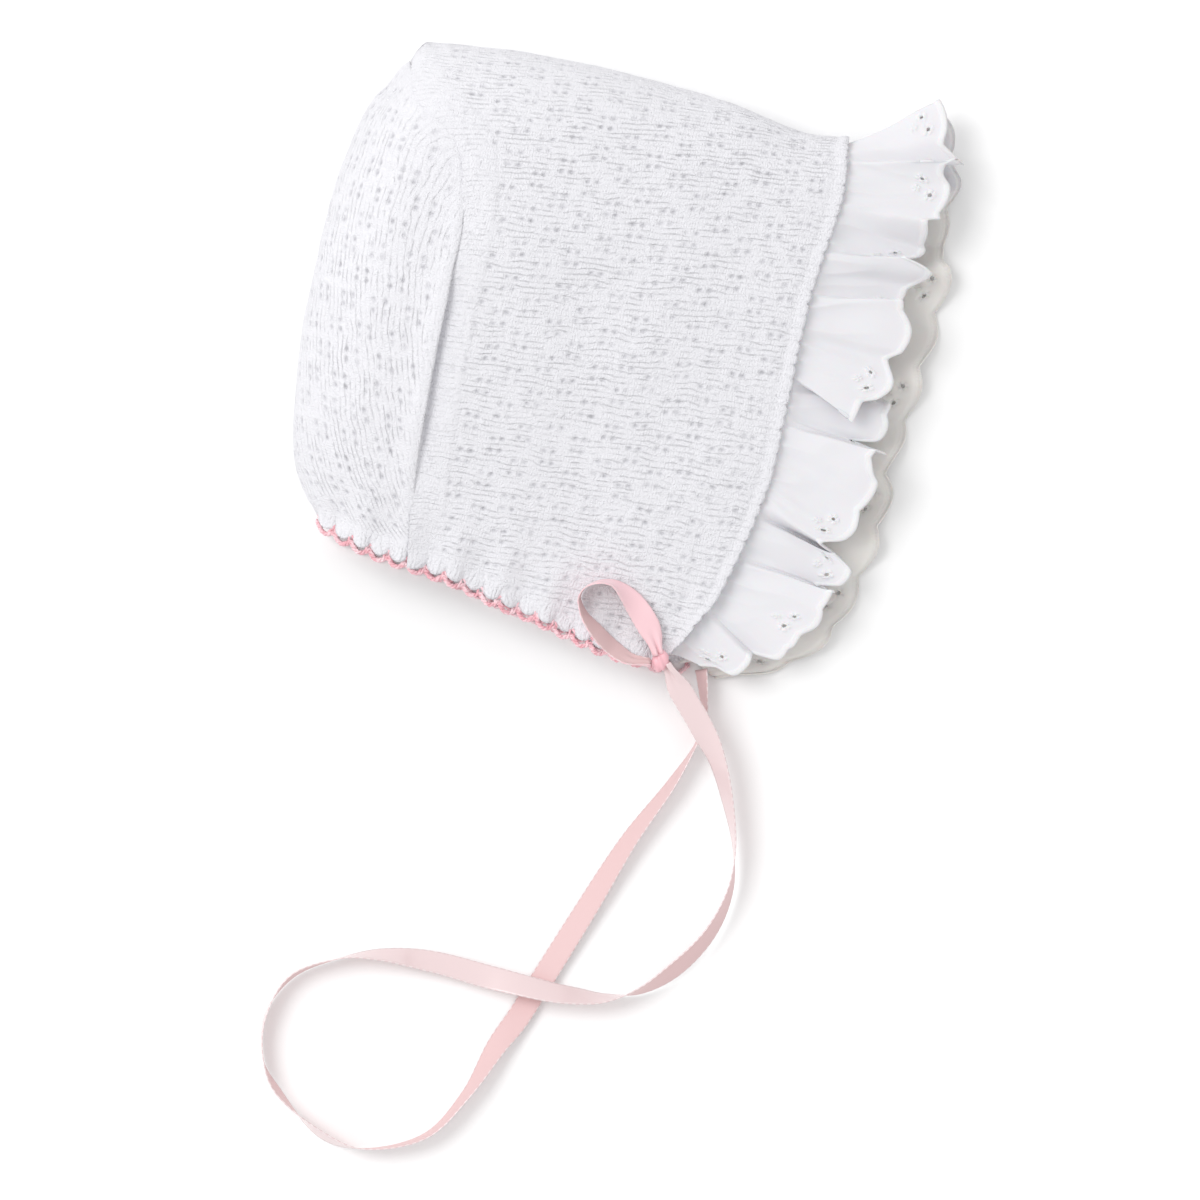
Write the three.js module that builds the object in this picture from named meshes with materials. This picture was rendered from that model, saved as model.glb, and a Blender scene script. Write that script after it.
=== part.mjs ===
import * as THREE from "three";
import { mergeVertices } from "three/addons/utils/BufferGeometryUtils.js";

// A knitted baby bonnet lying on its side, in millimetres. +X points out of the face opening,
// +Y to the crown and +Z up. The cloth that lies on top is called upper, the cloth on the ground lower.

// Cloth, seams and ribbon.
const KNIT_WALL = 2.0;
const RUFFLE_WALL = 1.0;
const SEAM_HALF_GAP = 0.3;
const SEWN_GAP = 0.35;
const RIBBON = { width: 7.2, thickness: 1.0, bevel: 0.25 };

// The crown fold seen from above, from the back fold round the crown corner to the face edge.
const CROWN_FOLD = [
  { x: -71.5, y: 66.4 },
  { x: -69.4, y: 71.3 },
  { x: -66.8, y: 75.6 },
  { x: -65.5, y: 79.4 },
  { x: -62.7, y: 82.4 },
  { x: -48.5, y: 84.4 },
  { x: -29.5, y: 87.3 },
  { x: 7.0, y: 88.8 },
  { x: 30.0, y: 87.8 },
  { x: 54.0, y: 85.4 },
  { x: 66.6, y: 87.4 },
];

// The fold down the middle of the back.
const BACK_FOLD = [
  { y: -64.0, x: -58.5 },
  { y: -57.8, x: -64.0 },
  { y: -47.7, x: -70.1 },
  { y: -38.4, x: -72.8 },
  { y: -14.6, x: -76.5 },
  { y: 8.0, x: -78.3 },
  { y: 29.4, x: -79.0 },
  { y: 48.0, x: -77.6 },
  { y: 60.4, x: -74.8 },
  { y: 66.4, x: -71.5 },
  { y: 71.3, x: -69.4 },
  { y: 75.6, x: -66.8 },
  { y: 79.4, x: -65.5 },
  { y: 82.4, x: -62.7 },
];

// The edge of the knit along the neck, without its edging.
const NECK_EDGE = [
  { x: -58.5, y: -64.0 },
  { x: -53.0, y: -66.2 },
  { x: -38.0, y: -69.0 },
  { x: -26.0, y: -69.8 },
  { x: -14.0, y: -70.8 },
  { x: 0.0, y: -73.6 },
  { x: 12.0, y: -75.2 },
  { x: 24.0, y: -77.4 },
  { x: 33.0, y: -79.0 },
  { x: 43.0, y: -79.6 },
  { x: 51.0, y: -78.8 },
  { x: 55.0, y: -76.6 },
];

// The edge of the knit round the face, where the ruffle is sewn in.
const FACE_EDGE = [
  { y: -76.6, x: 55.0 },
  { y: -71.0, x: 58.2 },
  { y: -65.4, x: 60.4 },
  { y: -57.7, x: 63.9 },
  { y: -44.1, x: 67.1 },
  { y: -32.1, x: 69.2 },
  { y: -16.8, x: 70.6 },
  { y: 6.2, x: 69.5 },
  { y: 37.2, x: 68.0 },
  { y: 67.5, x: 69.6 },
  { y: 87.4, x: 66.6 },
];

// The seam between the back and the side, from the crown corner over the back's shoulder to the neck. It turns
// down the side at the share SEAM_TURN of its length, and leaves the crown fold over the share SEAM_START.
const BACK_SEAM = [
  { x: -66.8, y: 75.6 },
  { x: -64.9, y: 72.0 },
  { x: -63.0, y: 68.6 },
  { x: -60.9, y: 65.4 },
  { x: -57.6, y: 62.7 },
  { x: -53.0, y: 60.3 },
  { x: -47.8, y: 57.2 },
  { x: -43.2, y: 51.4 },
  { x: -39.9, y: 41.0 },
  { x: -37.6, y: 28.8 },
  { x: -37.2, y: 12.4 },
  { x: -36.0, y: -10.6 },
  { x: -33.2, y: -39.6 },
  { x: -29.0, y: -62.0 },
  { x: -27.6, y: -69.7 },
];
const SEAM_TURN = 0.172;
const SEAM_START = 0.05;

// Height of the upper cloth where it is clear of the folds, and of the folds themselves.
const UPPER_CLOTH = [
  { x: -80, crown: 30, middle: 40, neck: 20 },
  { x: -36, crown: 34, middle: 44, neck: 23 },
  { x: 15, crown: 31, middle: 35, neck: 18 },
  { x: 70, crown: 23, middle: 24, neck: 14 },
];
const FOLD_HEIGHT = [
  { y: -66, z: 8 },
  { y: -40, z: 13 },
  { y: 0, z: 17 },
  { y: 50, z: 15 },
  { y: 75, z: 12 },
  { y: 90, z: 12 },
];
const CROWN_ROUNDING = 20;
const BACK_ROUNDING = 24;

// The lower cloth lies further forward at the neck, by up to `distance` from the seam to the face.
const LOWER_SHIFT = { distance: 7, from: -28 };

// The back panel stands proud of the side panel along the seam, and the neck is drawn into gathers.
const SEAM_STEP = { proud: 1.8, sunk: 1.5, reach: 9, top: 50, bottom: -60, fade: 20 };
const NECK_GATHER = { depth: 1.0, pitch: 15, reach: 24 };

// The ruffle, a row for each ridge and valley from the crown to the neck. `edge` is the share of the way
// along the face edge, and the other columns place the ruffle's outer edge.
const UPPER_RUFFLE = [
  { edge: 0.0, x: 90.5, y: 106.2, z: 14 },
  { edge: 0.02, x: 97.0, y: 98.0, z: 16 },
  { edge: 0.045, x: 100.2, y: 89.6, z: 22 },
  { edge: 0.088, x: 98.5, y: 81.0, z: 17 },
  { edge: 0.128, x: 100.9, y: 70.8, z: 21 },
  { edge: 0.186, x: 96.0, y: 62.5, z: 14 },
  { edge: 0.22, x: 95.0, y: 57.6, z: 22 },
  { edge: 0.277, x: 96.0, y: 49.0, z: 14 },
  { edge: 0.305, x: 98.0, y: 43.5, z: 21 },
  { edge: 0.36, x: 100.5, y: 32.0, z: 21 },
  { edge: 0.39, x: 98.5, y: 24.5, z: 18 },
  { edge: 0.43, x: 100.0, y: 14.0, z: 20 },
  { edge: 0.485, x: 98.5, y: 4.0, z: 13 },
  { edge: 0.54, x: 101.0, y: -3.0, z: 21 },
  { edge: 0.61, x: 101.5, y: -14.0, z: 19 },
  { edge: 0.675, x: 99.0, y: -24.0, z: 12 },
  { edge: 0.72, x: 100.6, y: -31.0, z: 19 },
  { edge: 0.766, x: 99.0, y: -40.0, z: 12 },
  { edge: 0.81, x: 98.0, y: -48.5, z: 17 },
  { edge: 0.87, x: 91.6, y: -61.0, z: 14 },
  { edge: 0.906, x: 85.5, y: -69.0, z: 9.5 },
  { edge: 0.936, x: 78.5, y: -72.5, z: 12.5 },
  { edge: 1.0, x: 67.5, y: -79.0, z: 10 },
];
const LOWER_RUFFLE = [
  { edge: 0.03, x: 97.0, y: 97.3, z: 8 },
  { edge: 0.07, x: 101.0, y: 88.0, z: 3 },
  { edge: 0.12, x: 103.3, y: 81.4, z: 7 },
  { edge: 0.17, x: 103.1, y: 73.3, z: 2 },
  { edge: 0.22, x: 103.0, y: 64.8, z: 1.2 },
  { edge: 0.27, x: 107.5, y: 57.7, z: 6 },
  { edge: 0.36, x: 108.2, y: 41.4, z: 1.2 },
  { edge: 0.45, x: 107.6, y: 24.8, z: 6 },
  { edge: 0.54, x: 107.6, y: 9.9, z: 1.2 },
  { edge: 0.62, x: 105.4, y: -4.0, z: 5 },
  { edge: 0.68, x: 107.6, y: -13.4, z: 1.2 },
  { edge: 0.75, x: 107.5, y: -26.8, z: 6 },
  { edge: 0.82, x: 106.1, y: -40.2, z: 1.2 },
  { edge: 0.88, x: 101.6, y: -58.2, z: 5 },
  { edge: 0.94, x: 89.8, y: -71.9, z: 1.2 },
  { edge: 0.97, x: 80.4, y: -76.6, z: 3 },
  { edge: 1.0, x: 69.8, y: -80.4, z: 1.4 },
];
const RUFFLE_TUCK = 4;
const RUFFLE_MOUTH = { share: 0.12, beyond: 0.8 };
const RUFFLE_ROWS = [0, RUFFLE_MOUTH.share, 0.35, 0.65, 0.88, 1];
const RUFFLE_DEPTH = KNIT_WALL + 2 * SEWN_GAP + RUFFLE_WALL;
const SCALLOP = { perHalf: 11, depth: 0.075 };

// The picot edging along the neck.
const PICOT = { gap: 0.35, band: 1.3, tip: 1.5, pitch: 5.9, skinDepth: 0.3, thickness: 1.4, cornerGap: 0.6 };

// The knot on the upper neck corner.
const KNOT = { x: 52.4, y: -79.4, radiusX: 2.8, radiusY: 3.2, radiusZ: 2.2, clear: 0.7, around: 12, up: 8 };

// The bow loop. `lean` is the angle in degrees between the ribbon's width and the ground, and `clear` is
// the space between its lower edge and the knit.
const BOW_LOOP = [
  { x: 50.9, y: -76.6, lean: 25, clear: 1.6 },
  { x: 48.6, y: -72.9, lean: 16, clear: 1.2 },
  { x: 44.7, y: -68.6, lean: 12, clear: 1.2 },
  { x: 40.9, y: -65.2, lean: 26, clear: 1.2 },
  { x: 36.6, y: -62.3, lean: 52, clear: 0.8 },
  { x: 32.0, y: -60.6, lean: 76, clear: 0.5 },
  { x: 28.0, y: -61.5, lean: 84, clear: 0.5 },
  { x: 24.9, y: -64.1, lean: 90, clear: 0.5 },
  { x: 24.1, y: -67.5, lean: 95, clear: 0.5 },
  { x: 25.8, y: -70.7, lean: 104, clear: 0.5 },
  { x: 29.1, y: -73.9, lean: 117, clear: 0.9 },
  { x: 32.9, y: -76.6, lean: 128, clear: 1.5 },
  { x: 37.7, y: -79.3, lean: 130, clear: 1.5 },
  { x: 42.9, y: -81.2, lean: 126, clear: 1.2 },
  { x: 48.4, y: -81.0, lean: 122, clear: 0.8 },
];

// The chin ribbon, from the knot to the lower neck corner. `lift` is the height of its lower edge.
const CHIN_RIBBON = [
  { x: 55.3, y: -81.3, lean: 40, lift: 13.6 },
  { x: 60.8, y: -86.7, lean: 6, lift: 14.0 },
  { x: 69.3, y: -95.1, lean: 12, lift: 11.6 },
  { x: 76.6, y: -103.7, lean: 46, lift: 7.6 },
  { x: 83.0, y: -115.0, lean: 64, lift: 4.8 },
  { x: 88.5, y: -127.9, lean: 84, lift: 3.2 },
  { x: 90.7, y: -140.3, lean: 103, lift: 2.4 },
  { x: 88.5, y: -154.0, lean: 119, lift: 2.0 },
  { x: 81.7, y: -166.9, lean: 128, lift: 1.6 },
  { x: 72.5, y: -176.9, lean: 106, lift: 1.0 },
  { x: 62.7, y: -181.8, lean: 71, lift: 1.4 },
  { x: 55.3, y: -183.3, lean: 51, lift: 2.8 },
  { x: 46.2, y: -184.3, lean: 36, lift: 4.0 },
  { x: 37.0, y: -184.6, lean: 26, lift: 4.0 },
  { x: 27.8, y: -184.8, lean: 16, lift: 2.8 },
  { x: 9.1, y: -184.8, lean: 31, lift: 0.8 },
  { x: -7.3, y: -187.1, lean: 66, lift: 0.4 },
  { x: -17.7, y: -191.1, lean: 90, lift: 0.3 },
  { x: -30.2, y: -200.2, lean: 98, lift: 0.3 },
  { x: -34.7, y: -213.7, lean: 85, lift: 0.3 },
  { x: -31.8, y: -226.6, lean: 88, lift: 0.3 },
  { x: -25.5, y: -234.2, lean: 103, lift: 0.3 },
  { x: -8.6, y: -243.9, lean: 72, lift: 0.3 },
  { x: 4.0, y: -244.6, lean: 89, lift: 0.3 },
  { x: 21.3, y: -235.9, lean: 101, lift: 0.3 },
  { x: 29.9, y: -220.6, lean: 112, lift: 0.3 },
  { x: 35.1, y: -204.0, lean: 145, lift: 0.3 },
  { x: 38.7, y: -195.2, lean: 164, lift: 0.3 },
  { x: 42.2, y: -184.1, lean: 166, lift: 0.3 },
  { x: 49.8, y: -159.3, lean: 156, lift: 0.3 },
  { x: 57.6, y: -133.7, lean: 132, lift: 0.3 },
  { x: 65.4, y: -114.2, lean: 112, lift: 0.3 },
  { x: 69.5, y: -100.6, lean: 95, lift: 0.3 },
  { x: 70.1, y: -93.6, lean: 99, lift: 0.3 },
  { x: 67.8, y: -86.0, lean: 109, lift: 0.3 },
  { x: 65.1, y: -78.7, lean: 119, lift: 0.3 },
];

// How finely each piece is cut into faces, and how much closer together the cuts are near a fold or seam.
const STEPS = {
  sideAlong: 22,
  sideAcross: 18,
  back: 18,
  backAcross: 10,
  scallop: 6,
  picot: 4,
  bow: 24,
  chin: 80,
};
const CROWDING = { fold: 1.8, seam: 1.5 };

// Distances along and across the ruffle over which its slope is taken.
const SLOPE_STEP = { along: 0.002, across: 0.02 };

const lerp = (a, b, t) => a + (b - a) * t;
const clamp01 = (t) => Math.min(1, Math.max(0, t));
const smooth = (t) => clamp01(t) ** 2 * (3 - 2 * clamp01(t));

// A smooth function through a table, which never swings past its rows.
function through(rows, from, to) {
  const last = rows.length - 1;
  const rise = (i) => (rows[i + 1][to] - rows[i][to]) / (rows[i + 1][from] - rows[i][from]);
  const slope = (i) => {
    if (i === 0 || i === last) return rise(Math.min(i, last - 1));
    const before = rise(i - 1);
    const after = rise(i);
    return before * after <= 0 ? 0 : (2 * before * after) / (before + after);
  };
  return (value) => {
    if (value <= rows[0][from]) return rows[0][to];
    if (value >= rows[last][from]) return rows[last][to];
    const i = rows.findIndex((row, k) => k < last && value <= rows[k + 1][from]);
    const span = rows[i + 1][from] - rows[i][from];
    const t = (value - rows[i][from]) / span;
    return (
      rows[i][to] * (1 + 2 * t) * (1 - t) ** 2 +
      rows[i + 1][to] * t ** 2 * (3 - 2 * t) +
      span * (slope(i) * t * (1 - t) ** 2 - slope(i + 1) * t ** 2 * (1 - t))
    );
  };
}

const crownLine = through(CROWN_FOLD, "x", "y");
const backLine = through(BACK_FOLD, "y", "x");
const neckLine = through(NECK_EDGE, "x", "y");
const faceLine = through(FACE_EDGE, "y", "x");
const foldHeight = through(FOLD_HEIGHT, "y", "z");
const crownCloth = through(UPPER_CLOTH, "x", "crown");
const middleCloth = through(UPPER_CLOTH, "x", "middle");
const neckCloth = through(UPPER_CLOTH, "x", "neck");
const seamLine = through([...BACK_SEAM].reverse(), "y", "x");
const seam = new THREE.CatmullRomCurve3(BACK_SEAM.map((row) => new THREE.Vector3(row.x, row.y, 0)));

// Rise of a rounded fold, 0 on the fold and 1 where the cloth is clear of it.
const rounded = (share) => Math.sqrt(1 - (1 - clamp01(share)) ** 2);

// Height of the upper cloth away from the folds.
function clothHeight(x, y) {
  const above = y - neckLine(x);
  const share = clamp01(above / (crownLine(x) - neckLine(x)));
  const height =
    neckCloth(x) * (1 - share) * (1 - 2 * share) +
    middleCloth(x) * 4 * share * (1 - share) +
    crownCloth(x) * share * (2 * share - 1);
  const gather = NECK_GATHER.depth * (1 - smooth(above / NECK_GATHER.reach));
  return height + gather * Math.cos((2 * Math.PI * x) / NECK_GATHER.pitch);
}

// A point of the knit, `depth` below its outer face, on the upper or the lower cloth.
function skin(x, y, isUpper, depth, step = 0) {
  const crownShare = clamp01((crownLine(x) - y) / CROWN_ROUNDING);
  const backShare = clamp01((x - backLine(y)) / BACK_ROUNDING);
  const rise = rounded(crownShare) * rounded(backShare);
  const fold = foldHeight(y);
  const outer = isUpper ? fold + (clothHeight(x, y) + step - fold) * rise : fold - fold * rise;
  return new THREE.Vector3(
    x + depth * (1 - backShare),
    y - depth * (1 - crownShare),
    isUpper ? outer - depth * rise : outer + depth * rise
  );
}

// How far the seam's step reaches at a point, 1 on the seam and 0 beyond its reach.
function stepShare(x, y) {
  const beside = 1 - smooth(Math.abs(x - seamLine(y)) / SEAM_STEP.reach);
  const below = smooth((SEAM_STEP.top - y) / SEAM_STEP.fade);
  const above = smooth((y - SEAM_STEP.bottom) / SEAM_STEP.fade);
  return beside * below * above;
}

// A four-sided patch between boundary curves, which run along u or along v.
function patch(left, right, top, bottom) {
  return (u, v) => {
    const corners = [left(0), right(0), left(1), right(1)];
    const at = (axis) =>
      lerp(left(v)[axis], right(v)[axis], u) +
      lerp(top(u)[axis], bottom(u)[axis], v) -
      lerp(lerp(corners[0][axis], corners[1][axis], u), lerp(corners[2][axis], corners[3][axis], u), v);
    return { x: at("x"), y: at("y") };
  };
}

// A closed wall between an outer and an inner grid of points.
function wall(columns, rows, outer, inner) {
  const positions = [];
  const triangle = (...points) => points.forEach((p) => positions.push(p.x, p.y, p.z));
  const quad = (a, b, c, d) => {
    triangle(a, b, c);
    triangle(a, c, d);
  };
  const grid = (point) =>
    Array.from({ length: columns + 1 }, (_, i) =>
      Array.from({ length: rows + 1 }, (_, j) => point(i / columns, j / rows))
    );
  const out = grid(outer);
  const into = grid(inner);
  for (let i = 0; i < columns; i++) {
    for (let j = 0; j < rows; j++) {
      quad(out[i][j], out[i + 1][j], out[i + 1][j + 1], out[i][j + 1]);
      quad(into[i][j], into[i][j + 1], into[i + 1][j + 1], into[i + 1][j]);
    }
    quad(out[i][0], into[i][0], into[i + 1][0], out[i + 1][0]);
    quad(out[i][rows], out[i + 1][rows], into[i + 1][rows], into[i][rows]);
  }
  for (let j = 0; j < rows; j++) {
    quad(out[0][j], out[0][j + 1], into[0][j + 1], into[0][j]);
    quad(out[columns][j], into[columns][j], into[columns][j + 1], out[columns][j + 1]);
  }
  const geometry = new THREE.BufferGeometry();
  geometry.setAttribute("position", new THREE.Float32BufferAttribute(positions, 3));
  return facingOut(geometry);
}

// Turns a closed geometry's faces outwards, by the sign of its volume.
function facingOut(source) {
  const geometry = source.index ? source.toNonIndexed() : source.clone();
  geometry.deleteAttribute("normal");
  geometry.deleteAttribute("uv");
  const place = geometry.attributes.position;
  const corner = [0, 1, 2].map(() => new THREE.Vector3());
  let volume = 0;
  for (let i = 0; i < place.count; i += 3) {
    corner.forEach((point, k) => point.fromBufferAttribute(place, i + k));
    volume += corner[0].dot(corner[1].clone().cross(corner[2])) / 6;
  }
  if (volume < 0) {
    for (let i = 0; i < place.count; i += 3) {
      corner.forEach((point, k) => point.fromBufferAttribute(place, i + k));
      place.setXYZ(i + 1, corner[2].x, corner[2].y, corner[2].z);
      place.setXYZ(i + 2, corner[1].x, corner[1].y, corner[1].z);
    }
  }
  const merged = mergeVertices(geometry, 1e-3);
  merged.computeVertexNormals();
  return merged;
}

// A share from 0 at the fold to 1 at the free edge, closer together near the fold.
const fromFold = (w) => Math.abs(1 - 2 * w) ** CROWDING.fold;

// The main panel, from the upper neck edge over the crown fold to the lower neck edge.
function sidePanel() {
  const aside = (point) => ({ x: point.x + SEAM_HALF_GAP, y: point.y + SEAM_HALF_GAP });
  const end = CROWN_FOLD[CROWN_FOLD.length - 1];
  const seamFoot = aside(seam.getPointAt(1));
  const left = (v) => {
    const point = aside(seam.getPointAt(v));
    const onFold = 1 - smooth(v / SEAM_START);
    return { x: point.x - SEAM_HALF_GAP * onFold, y: point.y };
  };
  const foldStart = left(0);
  const topX = (u) => lerp(foldStart.x, end.x, u);
  const top = (u) => ({ x: topX(u), y: u === 0 ? foldStart.y : crownLine(topX(u)) });
  const right = (v) => {
    const y = lerp(end.y, NECK_EDGE[NECK_EDGE.length - 1].y, v);
    return { x: faceLine(y), y };
  };
  const bottom = (u) => {
    const x = lerp(seamFoot.x, NECK_EDGE[NECK_EDGE.length - 1].x, u);
    return { x, y: neckLine(x) };
  };
  const plan = patch(left, right, top, bottom);
  const layer = (depth) => (i, w) => {
    const u = i ** CROWDING.seam;
    const v = fromFold(w);
    const point = plan(u, v);
    const isUpper = w < 0.5;
    const step = isUpper ? -SEAM_STEP.sunk * stepShare(point.x, point.y) : 0;
    const onCloth = skin(point.x, point.y, isUpper, depth, step);
    onCloth.x += isUpper ? 0 : LOWER_SHIFT.distance * u * v;
    return onCloth;
  };
  return wall(STEPS.sideAlong, 2 * STEPS.sideAcross, layer(0), layer(KNIT_WALL));
}

// The back panel, folded down its middle, from the upper seam round the back to the lower seam.
function backPanel() {
  const aside = (point) => ({ x: point.x - SEAM_HALF_GAP, y: point.y - SEAM_HALF_GAP });
  const onFold = (y) => ({ x: backLine(y), y });
  const topY = BACK_SEAM[0].y - SEAM_HALF_GAP;
  const bottomY = NECK_EDGE[0].y;
  const seamFoot = aside(seam.getPointAt(1));
  const left = (v) => onFold(lerp(topY, bottomY, v));
  const right = (v) => aside(seam.getPointAt(lerp(SEAM_TURN, 1, v)));
  const top = (u) => {
    const point = aside(seam.getPointAt(SEAM_TURN * u));
    return u === 0 ? left(0) : point;
  };
  const bottom = (u) => {
    const x = lerp(NECK_EDGE[0].x, seamFoot.x, u);
    return { x, y: neckLine(x) };
  };
  const plan = patch(left, right, top, bottom);
  const layer = (depth) => (w, v) => {
    const point = plan(fromFold(w), v);
    const isUpper = w < 0.5;
    const step = isUpper ? SEAM_STEP.proud * stepShare(point.x, point.y) : 0;
    return skin(point.x, point.y, isUpper, depth, step);
  };
  return wall(2 * STEPS.backAcross, STEPS.back, layer(0), layer(KNIT_WALL));
}

// The gathered ruffle, sewn inside the face edge. w runs from the upper neck corner over the crown.
function faceRuffle() {
  const rows = [
    ...UPPER_RUFFLE.map((row) => ({ ...row, w: 0.5 - row.edge / 2 })).reverse(),
    ...LOWER_RUFFLE.map((row) => ({ ...row, w: 0.5 + row.edge / 2 })),
  ];
  const tip = ["x", "y", "z"].map((axis) => through(rows, "w", axis));
  const crownEnd = CROWN_FOLD[CROWN_FOLD.length - 1];
  const neckEnd = NECK_EDGE[NECK_EDGE.length - 1];
  const knitEdge = (w, beyond) => {
    const share = Math.abs(1 - 2 * w);
    const x = faceLine(lerp(crownEnd.y, neckEnd.y, share)) + Math.min(0, beyond);
    const y = lerp(crownLine(x), neckLine(x), share);
    const point = skin(x, y, w < 0.5, RUFFLE_DEPTH);
    point.x += Math.max(0, beyond) + (w < 0.5 ? 0 : LOWER_SHIFT.distance * share);
    return point;
  };
  const middle = (w, r) => {
    const root = knitEdge(w, -RUFFLE_TUCK);
    const mouth = knitEdge(w, RUFFLE_MOUTH.beyond);
    if (r <= RUFFLE_MOUTH.share) return root.lerp(mouth, r / RUFFLE_MOUTH.share);
    const outer = new THREE.Vector3(...tip.map((axis) => axis(w)));
    const bulge = Math.abs(Math.sin(Math.PI * SCALLOP.perHalf * Math.abs(1 - 2 * w)));
    const reach = 1 - SCALLOP.depth * (1 - bulge);
    return mouth.lerp(outer, (reach * (r - RUFFLE_MOUTH.share)) / (1 - RUFFLE_MOUTH.share));
  };
  const face = (side) => (w, j) => {
    const r = RUFFLE_ROWS[Math.round(j * (RUFFLE_ROWS.length - 1))];
    const behind = middle(Math.max(0, w - SLOPE_STEP.along), r);
    const along = middle(Math.min(1, w + SLOPE_STEP.along), r).sub(behind);
    const within = middle(w, Math.max(0, r - SLOPE_STEP.across));
    const out = middle(w, Math.min(1, r + SLOPE_STEP.across)).sub(within);
    const normal = along.cross(out).normalize();
    return middle(w, r).addScaledVector(normal, (side * RUFFLE_WALL) / 2);
  };
  return wall(2 * SCALLOP.perHalf * STEPS.scallop, RUFFLE_ROWS.length - 1, face(-1), face(1));
}

// The picot edging, which follows the neck edge round the back fold.
function neckEdging() {
  const from = NECK_EDGE[0].x;
  const to = NECK_EDGE[NECK_EDGE.length - 1].x - PICOT.cornerGap;
  const count = Math.round((to - from) / PICOT.pitch);
  const point = (i, j, depth) => {
    const share = Math.abs(1 - 2 * i);
    const x = lerp(from, to, share);
    const y = neckLine(x);
    const isUpper = i < 0.5;
    const place = skin(x, y, isUpper, depth);
    const forward = clamp01((x - LOWER_SHIFT.from) / (to - LOWER_SHIFT.from));
    place.x += isUpper ? 0 : LOWER_SHIFT.distance * forward;
    const tip = PICOT.tip * Math.abs(Math.sin(Math.PI * share * count));
    place.y = y - PICOT.gap - j * (PICOT.band + tip);
    return place;
  };
  const outer = (i, j) => point(i, j, PICOT.skinDepth);
  const inner = (i, j) => point(i, j, PICOT.skinDepth + PICOT.thickness);
  return wall(2 * STEPS.picot * count, 1, outer, inner);
}

// A ribbon's centre line, which turns the ribbon's width by the table's lean.
class RibbonPath extends THREE.CatmullRomCurve3 {
  constructor(rows, groundAt) {
    super(
      rows.map((row) => {
        const reach = Math.abs(Math.sin(THREE.MathUtils.degToRad(row.lean))) * (RIBBON.width / 2);
        return new THREE.Vector3(row.x, row.y, groundAt(row) + reach + RIBBON.thickness / 2);
      })
    );
    this.leanAt = through(rows.map((row, i) => ({ t: i / (rows.length - 1), lean: row.lean })), "t", "lean");
  }

  computeFrenetFrames(segments) {
    const frames = { tangents: [], normals: [], binormals: [] };
    for (let i = 0; i <= segments; i++) {
      const tangent = this.getTangentAt(i / segments);
      const level = new THREE.Vector3(0, 0, 1).cross(tangent).normalize();
      const lean = THREE.MathUtils.degToRad(this.leanAt(this.getUtoTmapping(i / segments)));
      const normal = level.applyAxisAngle(tangent, lean);
      frames.tangents.push(tangent);
      frames.normals.push(normal);
      frames.binormals.push(tangent.clone().cross(normal));
    }
    return frames;
  }
}

function ribbon(path, steps) {
  const halfWidth = RIBBON.width / 2;
  const halfThickness = RIBBON.thickness / 2;
  const inset = { x: halfWidth - RIBBON.bevel, y: halfThickness - RIBBON.bevel };
  const section = new THREE.Shape([
    new THREE.Vector2(-halfWidth, -inset.y),
    new THREE.Vector2(-inset.x, -halfThickness),
    new THREE.Vector2(inset.x, -halfThickness),
    new THREE.Vector2(halfWidth, -inset.y),
    new THREE.Vector2(halfWidth, inset.y),
    new THREE.Vector2(inset.x, halfThickness),
    new THREE.Vector2(-inset.x, halfThickness),
    new THREE.Vector2(-halfWidth, inset.y),
  ]);
  return facingOut(new THREE.ExtrudeGeometry(section, { steps, bevelEnabled: false, extrudePath: path }));
}

const knitHeight = (x, y) => skin(x, Math.max(y, neckLine(x)), true, 0).z;

function bowLoop() {
  return ribbon(new RibbonPath(BOW_LOOP, (row) => knitHeight(row.x, row.y) + row.clear), STEPS.bow);
}

function chinRibbon() {
  return ribbon(new RibbonPath(CHIN_RIBBON, (row) => row.lift), STEPS.chin);
}

function ribbonKnot() {
  const knot = new THREE.SphereGeometry(1, KNOT.around, KNOT.up);
  knot.scale(KNOT.radiusX, KNOT.radiusY, KNOT.radiusZ);
  return facingOut(knot);
}

const MATERIALS = {
  knit: new THREE.MeshStandardMaterial({ color: 0xf1f1f6, roughness: 0.95, metalness: 0 }),
  cotton: new THREE.MeshStandardMaterial({ color: 0xeeeef2, roughness: 0.85, metalness: 0 }),
  picot: new THREE.MeshStandardMaterial({ color: 0xf08a9c, roughness: 0.8, metalness: 0 }),
  satin: new THREE.MeshStandardMaterial({ color: 0xf3c3c8, roughness: 0.35, metalness: 0 }),
};

function piece(name, geometry, material) {
  const mesh = new THREE.Mesh(geometry, material);
  mesh.name = name;
  return mesh;
}

const cloth = new THREE.Group();
cloth.add(piece("side_panel", sidePanel(), MATERIALS.knit));
cloth.add(piece("back_panel", backPanel(), MATERIALS.knit));
cloth.add(piece("face_ruffle", faceRuffle(), MATERIALS.cotton));
cloth.add(piece("neck_edging", neckEdging(), MATERIALS.picot));

const knot = piece("ribbon_knot", ribbonKnot(), MATERIALS.satin);
knot.position.set(KNOT.x, KNOT.y, knitHeight(KNOT.x, KNOT.y) + KNOT.clear + KNOT.radiusZ);

const bonnet = new THREE.Group();
bonnet.add(cloth);
bonnet.add(knot);
bonnet.add(piece("bow_loop", bowLoop(), MATERIALS.satin));
bonnet.add(piece("chin_ribbon", chinRibbon(), MATERIALS.satin));

// The origin is on the ground, under the middle of the cloth.
const bounds = new THREE.Box3().setFromObject(cloth);
const centre = bounds.getCenter(new THREE.Vector3());
bonnet.position.set(-centre.x, -centre.y, -bounds.min.z);

export default bonnet;
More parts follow.
